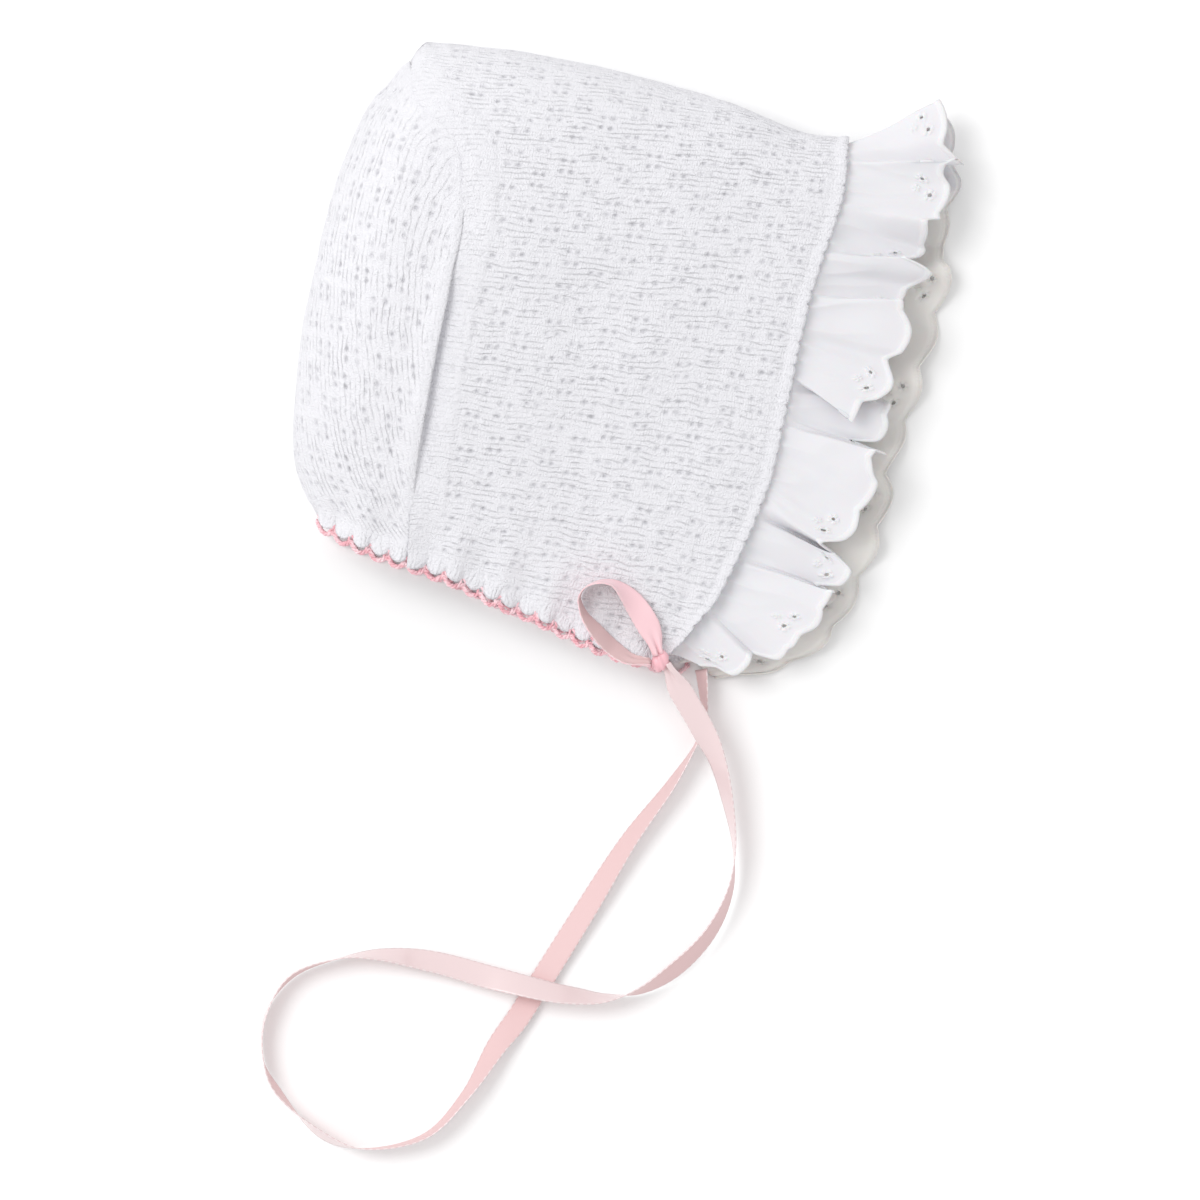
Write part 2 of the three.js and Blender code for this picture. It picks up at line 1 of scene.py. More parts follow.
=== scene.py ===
"""A knitted baby bonnet that lies on its side, with an eyelet ruffle, a picot edging and a satin chin ribbon.

The tables are in metres, in the bonnet's own lines: +X points out of the face opening, +Y to the crown and
+Z up. OWN_ORIGIN is where the origin of those lines lies in the part's frame. The cloth that lies on top is
called upper, the cloth on the ground lower.
"""

import logging
import math
from bisect import bisect_right
from dataclasses import dataclass
from enum import Enum
from typing import Callable, Iterable, NamedTuple, Sequence

import bmesh
import bpy
from mathutils import Matrix, Vector, noise
from mathutils.kdtree import KDTree


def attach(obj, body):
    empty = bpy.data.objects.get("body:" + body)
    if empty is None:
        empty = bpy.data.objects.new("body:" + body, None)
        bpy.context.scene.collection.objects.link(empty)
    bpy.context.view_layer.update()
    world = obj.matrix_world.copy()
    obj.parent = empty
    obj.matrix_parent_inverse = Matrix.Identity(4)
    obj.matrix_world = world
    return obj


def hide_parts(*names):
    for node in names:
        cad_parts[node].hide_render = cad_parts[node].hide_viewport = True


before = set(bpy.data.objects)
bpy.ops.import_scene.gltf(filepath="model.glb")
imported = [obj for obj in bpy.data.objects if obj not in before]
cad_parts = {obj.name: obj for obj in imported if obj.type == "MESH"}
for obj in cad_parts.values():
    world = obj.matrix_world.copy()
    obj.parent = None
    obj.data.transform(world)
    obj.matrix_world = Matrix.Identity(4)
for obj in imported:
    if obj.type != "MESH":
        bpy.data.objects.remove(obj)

LOG = logging.getLogger("bonnet")
OWN_ORIGIN = Vector((-0.014557, -0.011096, 0.0))
UP = Vector((0.0, 0.0, 1.0))

# Vertices closer than this are one, and the places of a profile stay this far apart.
TINY = 1e-7

# Moves a noise so far that it has nothing to do with the same noise unmoved.
ELSEWHERE = Vector((7.3, 2.9, 4.1))

# A cloth's points and their places in its pattern, by column and row, and a colour with its opacity.
Points = dict[tuple[int, int], Vector]
Pattern = dict[tuple[int, int], tuple[float, float]]
Colour = tuple[float, float, float, float]


class Spot(NamedTuple):
    """A point of a line that is seen from above."""

    x: float
    y: float


class Cloth(NamedTuple):
    """Heights of the upper cloth near the crown, half way and near the neck."""

    x: float
    crown: float
    middle: float
    neck: float


class Hem(NamedTuple):
    """A point of the ruffle's outer edge. `tuck` is how far the fold before it runs on under it."""

    share: float
    x: float
    y: float
    z: float
    tuck: float = 0.0


class Eyelet(NamedTuple):
    """An eyelet of the ruffle. `along` is measured from the scallop's middle, and a flower's radius is 0."""

    along: float
    inward: float
    radius: float


class Lay(NamedTuple):
    """A point of a ribbon. `lean` is its width's, in degrees, and `under` the space under its lower edge."""

    x: float
    y: float
    lean: float
    under: float


# The crown fold, from the back fold round the crown corner to the face edge.
CROWN_FOLD = (
    Spot(-0.0715, 0.0664),
    Spot(-0.0694, 0.0713),
    Spot(-0.0668, 0.0756),
    Spot(-0.0655, 0.0794),
    Spot(-0.0627, 0.0824),
    Spot(-0.0485, 0.0844),
    Spot(-0.0295, 0.0873),
    Spot(0.0070, 0.0888),
    Spot(0.0300, 0.0878),
    Spot(0.0540, 0.0854),
    Spot(0.0666, 0.0874),
)

# The fold down the middle of the back, from the neck up.
BACK_FOLD = (
    Spot(-0.0585, -0.0640),
    Spot(-0.0640, -0.0578),
    Spot(-0.0701, -0.0477),
    Spot(-0.0728, -0.0384),
    Spot(-0.0765, -0.0146),
    Spot(-0.0783, 0.0080),
    Spot(-0.0790, 0.0294),
    Spot(-0.0776, 0.0480),
    Spot(-0.0748, 0.0604),
    Spot(-0.0715, 0.0664),
    Spot(-0.0694, 0.0713),
    Spot(-0.0668, 0.0756),
    Spot(-0.0655, 0.0794),
    Spot(-0.0627, 0.0824),
)

# The knit's edge along the neck.
NECK_EDGE = (
    Spot(-0.0585, -0.0640),
    Spot(-0.0530, -0.0662),
    Spot(-0.0380, -0.0690),
    Spot(-0.0260, -0.0698),
    Spot(-0.0140, -0.0708),
    Spot(0.0000, -0.0736),
    Spot(0.0120, -0.0752),
    Spot(0.0240, -0.0774),
    Spot(0.0330, -0.0790),
    Spot(0.0430, -0.0796),
    Spot(0.0510, -0.0788),
    Spot(0.0550, -0.0766),
)

# The knit's edge round the face, from the neck up.
FACE_EDGE = (
    Spot(0.0550, -0.0766),
    Spot(0.0582, -0.0710),
    Spot(0.0604, -0.0654),
    Spot(0.0639, -0.0577),
    Spot(0.0671, -0.0441),
    Spot(0.0692, -0.0321),
    Spot(0.0706, -0.0168),
    Spot(0.0695, 0.0062),
    Spot(0.0680, 0.0372),
    Spot(0.0696, 0.0675),
    Spot(0.0666, 0.0874),
)

# The seam between the back and the side, from the crown corner over the back's shoulder to the neck.
BACK_SEAM = (
    Spot(-0.0668, 0.0756),
    Spot(-0.0649, 0.0720),
    Spot(-0.0630, 0.0686),
    Spot(-0.0609, 0.0654),
    Spot(-0.0576, 0.0627),
    Spot(-0.0530, 0.0603),
    Spot(-0.0478, 0.0572),
    Spot(-0.0432, 0.0514),
    Spot(-0.0399, 0.0410),
    Spot(-0.0376, 0.0288),
    Spot(-0.0372, 0.0124),
    Spot(-0.0360, -0.0106),
    Spot(-0.0332, -0.0396),
    Spot(-0.0290, -0.0620),
    Spot(-0.0276, -0.0697),
)

# Height of the upper cloth where it is clear of the folds, by x.
UPPER_CLOTH = (
    Cloth(-0.080, 0.030, 0.040, 0.020),
    Cloth(-0.036, 0.034, 0.044, 0.023),
    Cloth(0.015, 0.031, 0.035, 0.018),
    Cloth(0.070, 0.023, 0.024, 0.014),
)

# How much of its full height the step along the back seam has, by y.
SEAM_STEP_SHARE = (
    (-0.070, 0.30),
    (-0.045, 0.60),
    (-0.022, 1.00),
    (0.004, 1.00),
    (0.024, 0.35),
    (0.060, 0.15),
)

# Heights of the fold at the back and the crown, by y.
FOLD_HEIGHT = (
    (-0.066, 0.008),
    (-0.040, 0.013),
    (0.000, 0.017),
    (0.050, 0.015),
    (0.075, 0.012),
    (0.090, 0.012),
)

# The upper ruffle's outer edge, from the crown to the neck, by the share of the way along the face edge.
UPPER_RUFFLE = (
    Hem(0.000, 0.0907, 0.1061, 0.0130),
    Hem(0.010, 0.0950, 0.0974, 0.0150),
    Hem(0.022, 0.0961, 0.0941, 0.0155),
    Hem(0.040, 0.1008, 0.0894, 0.0210, 0.0025),
    Hem(0.052, 0.0974, 0.0845, 0.0180),
    Hem(0.075, 0.0998, 0.0805, 0.0160),
    Hem(0.095, 0.1007, 0.0764, 0.0160),
    Hem(0.118, 0.1009, 0.0708, 0.0190),
    Hem(0.132, 0.0959, 0.0689, 0.0200),
    Hem(0.165, 0.0990, 0.0607, 0.0120),
    Hem(0.220, 0.0945, 0.0570, 0.0225, 0.0030),
    Hem(0.235, 0.1010, 0.0545, 0.0190),
    Hem(0.262, 0.0980, 0.0490, 0.0130),
    Hem(0.305, 0.0953, 0.0442, 0.0220, 0.0035),
    Hem(0.320, 0.0980, 0.0412, 0.0205),
    Hem(0.345, 0.1000, 0.0349, 0.0190),
    Hem(0.365, 0.0996, 0.0292, 0.0180),
    Hem(0.378, 0.0972, 0.0254, 0.0160),
    Hem(0.400, 0.0986, 0.0190, 0.0180),
    Hem(0.425, 0.0961, 0.0133, 0.0190),
    Hem(0.440, 0.0922, 0.0104, 0.0205),
    Hem(0.450, 0.0898, 0.0045, 0.0220),
    Hem(0.470, 0.0930, 0.0140, 0.0090),
    Hem(0.485, 0.1002, 0.0132, 0.0110),
    Hem(0.500, 0.1016, 0.0080, 0.0130),
    Hem(0.515, 0.0987, 0.0013, 0.0140),
    Hem(0.528, 0.0924, -0.0007, 0.0140),
    Hem(0.545, 0.0999, -0.0018, 0.0210, 0.0030),
    Hem(0.562, 0.1003, -0.0082, 0.0200),
    Hem(0.580, 0.1019, -0.0115, 0.0190),
    Hem(0.605, 0.1015, -0.0172, 0.0170),
    Hem(0.640, 0.0999, -0.0251, 0.0160),
    Hem(0.665, 0.0963, -0.0304, 0.0170),
    Hem(0.690, 0.0915, -0.0333, 0.0190),
    Hem(0.7225, 0.0967, -0.0353, 0.0140, 0.0015),
    Hem(0.740, 0.1011, -0.0388, 0.0140),
    Hem(0.760, 0.0998, -0.0434, 0.0130),
    Hem(0.780, 0.0946, -0.0458, 0.0120),
    Hem(0.805, 0.0974, -0.0460, 0.0180, 0.0020),
    Hem(0.830, 0.0979, -0.0524, 0.0170),
    Hem(0.850, 0.0960, -0.0569, 0.0150),
    Hem(0.865, 0.0916, -0.0615, 0.0140),
    Hem(0.880, 0.0916, -0.0649, 0.0140),
    Hem(0.893, 0.0865, -0.0703, 0.0120),
    Hem(0.905, 0.0791, -0.0704, 0.0100),
    Hem(0.920, 0.0800, -0.0725, 0.0140),
    Hem(0.940, 0.0780, -0.0757, 0.0125),
    Hem(0.960, 0.0744, -0.0782, 0.0110),
    Hem(0.980, 0.0701, -0.0772, 0.0100),
    Hem(1.000, 0.0662, -0.0779, 0.0095),
)

# The lower ruffle's outer edge, from the crown to the neck.
LOWER_RUFFLE = (
    Hem(0.03, 0.0970, 0.0973, 0.0080),
    Hem(0.07, 0.1010, 0.0880, 0.0030),
    Hem(0.12, 0.1033, 0.0814, 0.0070),
    Hem(0.17, 0.1031, 0.0733, 0.0020),
    Hem(0.22, 0.1030, 0.0648, 0.0012),
    Hem(0.27, 0.1075, 0.0577, 0.0060),
    Hem(0.36, 0.1082, 0.0414, 0.0012),
    Hem(0.45, 0.1076, 0.0248, 0.0060),
    Hem(0.54, 0.1076, 0.0099, 0.0012),
    Hem(0.62, 0.1054, -0.0040, 0.0050),
    Hem(0.68, 0.1076, -0.0134, 0.0012),
    Hem(0.75, 0.1075, -0.0268, 0.0060),
    Hem(0.82, 0.1061, -0.0402, 0.0012),
    Hem(0.88, 0.1016, -0.0582, 0.0050),
    Hem(0.94, 0.0898, -0.0719, 0.0012),
    Hem(0.97, 0.0804, -0.0766, 0.0030),
    Hem(1.00, 0.0698, -0.0804, 0.0014),
)

# The bow's loop. `under` is the space between its lower edge and the knit.
BOW_LOOP = (
    Lay(0.0509, -0.0766, 25, 0.0016),
    Lay(0.0486, -0.0729, 16, 0.0012),
    Lay(0.0447, -0.0686, 12, 0.0012),
    Lay(0.0409, -0.0652, 26, 0.0012),
    Lay(0.0366, -0.0623, 52, 0.0008),
    Lay(0.0320, -0.0606, 76, 0.0005),
    Lay(0.0280, -0.0615, 84, 0.0005),
    Lay(0.0249, -0.0641, 90, 0.0005),
    Lay(0.0241, -0.0675, 95, 0.0005),
    Lay(0.0258, -0.0707, 104, 0.0005),
    Lay(0.0291, -0.0739, 117, 0.0009),
    Lay(0.0329, -0.0766, 128, 0.0015),
    Lay(0.0377, -0.0793, 130, 0.0015),
    Lay(0.0429, -0.0812, 126, 0.0012),
    Lay(0.0484, -0.0810, 122, 0.0008),
)

# The chin ribbon, from the knot to the lower neck corner. `under` is the height of its lower edge.
CHIN_RIBBON = (
    Lay(0.0553, -0.0813, 40, 0.0136),
    Lay(0.0608, -0.0867, 6, 0.0140),
    Lay(0.0693, -0.0951, 12, 0.0116),
    Lay(0.0766, -0.1037, 46, 0.0076),
    Lay(0.0830, -0.1150, 64, 0.0048),
    Lay(0.0885, -0.1279, 84, 0.0032),
    Lay(0.0907, -0.1403, 103, 0.0024),
    Lay(0.0885, -0.1540, 119, 0.0020),
    Lay(0.0817, -0.1669, 128, 0.0016),
    Lay(0.0725, -0.1769, 106, 0.0010),
    Lay(0.0627, -0.1818, 71, 0.0014),
    Lay(0.0553, -0.1833, 51, 0.0028),
    Lay(0.0462, -0.1843, 36, 0.0040),
    Lay(0.0370, -0.1846, 26, 0.0040),
    Lay(0.0278, -0.1848, 16, 0.0028),
    Lay(0.0091, -0.1848, 31, 0.0008),
    Lay(-0.0073, -0.1871, 66, 0.0004),
    Lay(-0.0177, -0.1911, 90, 0.0003),
    Lay(-0.0302, -0.2002, 98, 0.0003),
    Lay(-0.0347, -0.2137, 85, 0.0003),
    Lay(-0.0318, -0.2266, 88, 0.0003),
    Lay(-0.0255, -0.2342, 103, 0.0003),
    Lay(-0.0086, -0.2439, 72, 0.0003),
    Lay(0.0040, -0.2446, 89, 0.0003),
    Lay(0.0213, -0.2359, 101, 0.0003),
    Lay(0.0299, -0.2206, 112, 0.0003),
    Lay(0.0351, -0.2040, 145, 0.0003),
    Lay(0.0387, -0.1952, 164, 0.0003),
    Lay(0.0422, -0.1841, 166, 0.0003),
    Lay(0.0498, -0.1593, 156, 0.0003),
    Lay(0.0576, -0.1337, 132, 0.0003),
    Lay(0.0654, -0.1142, 112, 0.0003),
    Lay(0.0695, -0.1006, 95, 0.0003),
    Lay(0.0701, -0.0936, 99, 0.0003),
    Lay(0.0678, -0.0860, 109, 0.0003),
    Lay(0.0651, -0.0787, 119, 0.0003),
)

# A sprig of the ruffle's eyelets over the middle of a scallop. The flower has no hole, so its radius is 0.
SPRIG = (
    Eyelet(-0.0030, 0.0060, 0.0006),
    Eyelet(0.0025, 0.0075, 0.0005),
    Eyelet(-0.0010, 0.0105, 0.0),
)


def clamp01(value: float) -> float:
    """Returns the value kept between 0 and 1."""
    return min(1.0, max(0.0, value))


def lerp(first: float, last: float, share: float) -> float:
    """Returns the value that lies the given share of the way from first to last."""
    return first + (last - first) * share


def smooth(value: float) -> float:
    """Returns a soft step, 0 up to 0 and 1 from 1 on."""
    share = clamp01(value)
    return share * share * (3.0 - 2.0 * share)


def rounded(share: float) -> float:
    """Returns the rise of a rounded fold, 0 on the fold and 1 where the cloth is clear of it."""
    return math.sqrt(1.0 - (1.0 - clamp01(share)) ** 2)


def crowded(share: float, closeness: float) -> float:
    """Spaces shares closer together near 0.

    Args:
        share: An even share from 0 to 1.
        closeness: The share below which they crowd together.

    Returns:
        The crowded share, from 0 to 1.
    """
    return share * share * (1.0 + closeness) / (share + closeness)


def bump_at(distance: float, middle: float, width: float) -> float:
    """Returns a rounded ridge, 1 at the middle and near 0 beyond twice the width."""
    return math.exp(-(((distance - middle) / width) ** 2))


def ridge(distance: float, start: float, width: float, fullness: float = 0.45) -> float:
    """Returns a rounded ridge that fills a band of the given width, from its start on."""
    return bump_at(distance, start + width * 0.5, width * fullness)


class Profile:
    """A smooth function through a short table, which never swings past its rows."""

    def __init__(self, rows: Iterable[tuple[float, float]]) -> None:
        """Sorts the rows and works out the slope at each.

        Args:
            rows: Pairs of a place and the value there.
        """
        ordered = sorted(rows)
        self.places = [row[0] for row in ordered]
        self.values = [row[1] for row in ordered]
        steps = range(len(ordered) - 1)
        rises = [
            (self.values[i + 1] - self.values[i]) / (self.places[i + 1] - self.places[i]) for i in steps
        ]
        inner = [2.0 * a * b / (a + b) if a * b > 0.0 else 0.0 for a, b in zip(rises, rises[1:])]
        self.slopes = [rises[0], *inner, rises[-1]]

    def __call__(self, place: float) -> float:
        """Returns the value at a place, and the end's value beyond either end."""
        if place <= self.places[0]:
            return self.values[0]
        if place >= self.places[-1]:
            return self.values[-1]
        i = bisect_right(self.places, place) - 1
        span = self.places[i + 1] - self.places[i]
        t = (place - self.places[i]) / span
        start = self.values[i] * (1.0 + 2.0 * t) * (1.0 - t) ** 2
        end = self.values[i + 1] * t * t * (3.0 - 2.0 * t)
        bend = self.slopes[i] * t * (1.0 - t) ** 2 - self.slopes[i + 1] * t * t * (1.0 - t)
        return start + end + span * bend


class Track:
    """A smooth line through points, walked by the share of its length."""

    SAMPLES = 16
    LEAST_GAP = 1e-6
    LEAST_STEP = 1e-9

    def __init__(self, points: Sequence[Vector]) -> None:
        """Draws the line and measures it.

        Args:
            points: The points that it passes through, in order.
        """
        before = points[0] * 2.0 - points[1]
        after = points[-1] * 2.0 - points[-2]
        knots = [before, *points, after]
        self.line: list[Vector] = [points[0].copy()]
        for i in range(1, len(knots) - 2):
            self.line += self._span(*knots[i - 1 : i + 3])
        self.distances = [0.0]
        for first, second in zip(self.line, self.line[1:]):
            self.distances.append(self.distances[-1] + (second - first).length)
        self.length = self.distances[-1]

    def _span(self, before: Vector, first: Vector, second: Vector, after: Vector) -> list[Vector]:
        """Returns the points of one span, which starts after its first point."""
        pairs = ((before, first), (first, second), (second, after))
        into, over, out = (max(self.LEAST_GAP, math.sqrt((b - a).length)) for a, b in pairs)
        leave = (first - before) / into - (second - before) / (into + over) + (second - first) / over
        arrive = (second - first) / over - (after - first) / (over + out) + (after - second) / out
        points = []
        for k in range(1, self.SAMPLES + 1):
            t = k / self.SAMPLES
            place = first * (1.0 + 2.0 * t) * (1.0 - t) ** 2 + second * t * t * (3.0 - 2.0 * t)
            points.append(place + (leave * t * (1.0 - t) ** 2 - arrive * t * t * (1.0 - t)) * over)
        return points

    def walk(self, share: float) -> tuple[Vector, float]:
        """Finds a place on the line.

        Args:
            share: The share of the line's length.

        Returns:
            The point, and the share of the rows that it has passed.
        """
        distance = clamp01(share) * self.length
        i = min(max(bisect_right(self.distances, distance) - 1, 0), len(self.line) - 2)
        step = max(self.LEAST_STEP, self.distances[i + 1] - self.distances[i])
        part = (distance - self.distances[i]) / step
        return self.line[i].lerp(self.line[i + 1], part), (i + part) / (len(self.line) - 1)

    def direction(self, share: float) -> Vector:
        """Returns the line's direction at a share of its length."""
        step = 0.5 / len(self.line)
        return (self.walk(share + step)[0] - self.walk(share - step)[0]).normalized()


CROWN_LINE = Profile(CROWN_FOLD)
BACK_LINE = Profile((spot.y, spot.x) for spot in BACK_FOLD)
NECK_LINE = Profile(NECK_EDGE)
FACE_LINE = Profile((spot.y, spot.x) for spot in FACE_EDGE)
SEAM_LINE = Profile((spot.y, spot.x) for spot in BACK_SEAM)
SEAM = Track([Vector((spot.x, spot.y, 0.0)) for spot in BACK_SEAM])
FOLD_LINE = Profile(FOLD_HEIGHT)
CROWN_CLOTH = Profile((row.x, row.crown) for row in UPPER_CLOTH)
MIDDLE_CLOTH = Profile((row.x, row.middle) for row in UPPER_CLOTH)
NECK_CLOTH = Profile((row.x, row.neck) for row in UPPER_CLOTH)
STEP_BY_HEIGHT = Profile(SEAM_STEP_SHARE)
CROWN_END = CROWN_FOLD[-1]
NECK_START = NECK_EDGE[0]
NECK_END = NECK_EDGE[-1]


class Layer(Enum):
    """Which of the two cloths of the flat bonnet a point is on."""

    UPPER = 1
    LOWER = -1


class Slot(Enum):
    """The record's material slots."""

    KNIT = "knit"
    COTTON = "cotton"
    PICOT = "picot"
    SATIN = "satin"


@dataclass(frozen=True)
class Form:
    """The smooth shape of the knit, which every piece follows."""

    crown_rounding: float = 0.020
    back_rounding: float = 0.024
    lower_shift: float = 0.007
    shift_from: float = -0.028
    step_proud: float = 0.0018
    step_sunk: float = 0.0015
    step_reach: float = 0.009
    step_top: float = 0.050
    step_bottom: float = -0.060
    step_fade: float = 0.020
    gather_depth: float = 0.001
    gather_pitch: float = 0.015
    gather_reach: float = 0.024
    puff_pitch: float = 0.0059
    corner_gap: float = 0.0006

    def height(self, x: float, y: float) -> float:
        """Returns the height of the upper cloth away from the folds."""
        above = y - NECK_LINE(x)
        share = clamp01(above / (CROWN_LINE(x) - NECK_LINE(x)))
        neck = NECK_CLOTH(x) * (1.0 - share) * (1.0 - 2.0 * share)
        middle = MIDDLE_CLOTH(x) * 4.0 * share * (1.0 - share)
        crown = CROWN_CLOTH(x) * share * (2.0 * share - 1.0)
        gather = self.gather_depth * (1.0 - smooth(above / self.gather_reach))
        return neck + middle + crown + gather * math.cos(2.0 * math.pi * x / self.gather_pitch)

    def skin(self, x: float, y: float, layer: Layer, depth: float, step: float = 0.0) -> Vector:
        """Finds a point of the knit.

        Args:
            x: The place along the bonnet.
            y: The place up the bonnet.
            layer: The cloth that the point is on.
            depth: How far it lies below the knit's outer face.
            step: How far the upper cloth is raised there.

        Returns:
            The point, in the bonnet's own lines.
        """
        crown_share = clamp01((CROWN_LINE(x) - y) / self.crown_rounding)
        back_share = clamp01((x - BACK_LINE(y)) / self.back_rounding)
        rise = rounded(crown_share) * rounded(back_share)
        fold = FOLD_LINE(y)
        if layer is Layer.UPPER:
            z = fold + (self.height(x, y) + step - fold) * rise - depth * rise
        else:
            z = fold - fold * rise + depth * rise
        return Vector((x + depth * (1.0 - back_share), y - depth * (1.0 - crown_share), z))

    def step_share(self, x: float, y: float) -> float:
        """Returns how far the seam's step reaches at a point, 1 on the seam and 0 beyond its reach."""
        beside = 1.0 - smooth(abs(x - SEAM_LINE(y)) / self.step_reach)
        below = smooth((self.step_top - y) / self.step_fade)
        above = smooth((y - self.step_bottom) / self.step_fade)
        return beside * below * above

    def seam_step(self, x: float, y: float) -> float:
        """Returns the step's share, which is deepest half way down the seam and slight at its top."""
        return self.step_share(x, y) * STEP_BY_HEIGHT(y)

    def neck_run(self, x: float) -> float:
        """Returns how many puffs lie along the neck edge between the back fold and x."""
        end = NECK_END.x - self.corner_gap
        count = round((end - NECK_START.x) / self.puff_pitch)
        return count * clamp01((x - NECK_START.x) / (end - NECK_START.x))

    def puff(self, x: float) -> float:
        """Returns how far a puff of the neck edge bulges at x, from 0 to 1."""
        return abs(math.sin(math.pi * self.neck_run(x)))

    def neck_shift(self, x: float) -> float:
        """Returns how far forward the lower cloth lies at x on the neck edge."""
        return self.lower_shift * clamp01((x - self.shift_from) / (NECK_END.x - self.shift_from))


@dataclass(frozen=True)
class Openwork:
    """The knit's repeat: two ribs to a row, and pairs of small holes in two cells out of three.

    `first` and `second` are the holes' places along a cell, and `slant` is how many rows a pair climbs
    across it. `wander` is how far the hand of the knitting shifts the pattern.
    """

    cell: float = 0.0081
    row: float = 0.0037
    first: float = 0.32
    second: float = 0.68
    along: float = 0.15
    across: float = 0.23
    slant: float = 0.35
    depth: float = 0.0005
    pucker: float = 0.60
    pucker_spread: float = 0.38
    sharpness: float = 1.5
    repeat: int = 3
    wander_size: float = 0.009
    wander_cells: float = 0.11
    wander_rows: float = 0.16

    def relief(self, cells: float, rows: float) -> float:
        """Finds how the openwork raises and sinks the knit at a place.

        Args:
            cells: The place along the ribs, counted in cells.
            rows: The place across the ribs, counted in rows.

        Returns:
            How far the knit is raised there, less than 0 in a hole and more beside it.
        """
        row = math.floor(rows)
        cell = math.floor(cells)
        if (cell + row) % self.repeat == self.repeat - 1:
            return 0.0
        run = cells - cell
        beside = ((rows - row - 0.5 - self.slant * (run - 0.5)) / self.across) ** 2
        nearest = beside + min(((run - at) / self.along) ** 2 for at in (self.first, self.second))
        beyond = self.pucker * math.exp(-self.pucker_spread * nearest)
        return self.depth * (beyond - (1.0 + self.pucker) * math.exp(-self.sharpness * nearest))

    def wander(self, point: Vector) -> tuple[float, float]:
        """Returns how far the hand of the knitting shifts the pattern at a point, in cells and rows."""
        place = Vector((point.x, point.y, 0.0)) / self.wander_size
        return self.wander_cells * noise.noise(place), self.wander_rows * noise.noise(place + ELSEWHERE)


def roughness_at(place: Vector, size: float) -> float:
    """Returns a soft unevenness from -1 to 1, whose swells are about the given size."""
    return noise.noise(place / size)


def add_grid(
    mesh: bmesh.types.BMesh,
    columns: int,
    rows: int,
    place: Callable[[int, int], Vector],
    pattern: Callable[[int, int], tuple[float, float]],
) -> dict[tuple[int, int], bmesh.types.BMVert]:
    """Adds a grid to a mesh and moves its vertices into a shape.

    Args:
        mesh: The mesh that the grid is added to.
        columns: How many faces it has along the first way.
        rows: How many faces it has along the second way.
        place: Gives each vertex's point from its column and row.
        pattern: Gives each vertex's UV from its column and row.

    Returns:
        The grid's vertices by column and row.
    """
    layer = mesh.loops.layers.uv.verify()
    made = bmesh.ops.create_grid(mesh, x_segments=columns, y_segments=rows, size=1.0)["verts"]
    spots = {}
    for vertex in made:
        spots[vertex] = (round((vertex.co.x + 1.0) / 2.0 * columns), round((vertex.co.y + 1.0) / 2.0 * rows))
    for vertex, spot in spots.items():
        vertex.co = place(*spot)
    for face in {face for vertex in made for face in vertex.link_faces}:
        face.smooth = True
        for loop in face.loops:
            loop[layer].uv = pattern(*spots[loop.vert])
    return {spot: vertex for vertex, spot in spots.items()}


def raise_grid(
    mesh: bmesh.types.BMesh,
    grid: dict[tuple[int, int], bmesh.types.BMVert],
    relief: Callable[[int, int], float],
) -> None:
    """Moves a grid's vertices along their normals.

    Args:
        mesh: The mesh that holds the grid.
        grid: Its vertices by column and row.
        relief: Gives how far each vertex moves out.
    """
    mesh.normal_update()
    moves = {vertex: vertex.normal * relief(*spot) for spot, vertex in grid.items()}
    for vertex, move in moves.items():
        vertex.co += move


def start_knit() -> bmesh.types.BMesh:
    """Starts a mesh with the attributes that a knit panel's vertices have."""
    mesh = bmesh.new()
    for name in ("openwork", "gathered"):
        mesh.verts.layers.float.new(name)
    mesh.verts.layers.deform.verify()
    return mesh


def mark(
    mesh: bmesh.types.BMesh, vertex: bmesh.types.BMVert, openwork: float, gathered: float, wall: float
) -> None:
    """Writes down what a knit vertex shows, for the material and for the wall's thickness.

    Args:
        mesh: The mesh that the vertex is in.
        vertex: The vertex.
        openwork: How much it shows of the openwork, from 0 to 1.
        gathered: How much it shows of the neck's gathers, from 0 to 1.
        wall: Its share of the wall's thickness.
    """
    layers = mesh.verts.layers
    vertex[layers.float["openwork"]] = openwork
    vertex[layers.float["gathered"]] = gathered
    vertex[layers.deform.active][0] = wall


def add_tube(
    mesh: bmesh.types.BMesh, path: Sequence[Vector], radius: float, sides: int, end_share: float = 0.35
) -> None:
    """Adds a closed tube along a path to a mesh.

    Args:
        mesh: The mesh that the tube is added to.
        path: The points of its middle line.
        radius: Half its thickness.
        sides: How many sides its section has.
        end_share: How thick its first and last rings are, as a share of the rest.
    """
    last = len(path) - 1

    def place(i: int, j: int) -> Vector:
        """Returns a vertex's point on the ring round the path's point i."""
        along = (path[min(last, i + 1)] - path[max(0, i - 1)]).normalized()
        beside = along.cross(UP).normalized()
        angle = 2.0 * math.pi * (j % sides) / sides
        end = end_share if i in (0, last) else 1.0
        return path[i] + (beside * math.cos(angle) + beside.cross(along) * math.sin(angle)) * radius * end

    grid = add_grid(mesh, last, sides, place, lambda i, j: (i * radius, j / sides))
    bmesh.ops.remove_doubles(mesh, verts=list(grid.values()), dist=TINY)
    rims = [edge for edge in mesh.edges if edge.is_boundary]
    bmesh.ops.holes_fill(mesh, edges=rims, sides=sides)


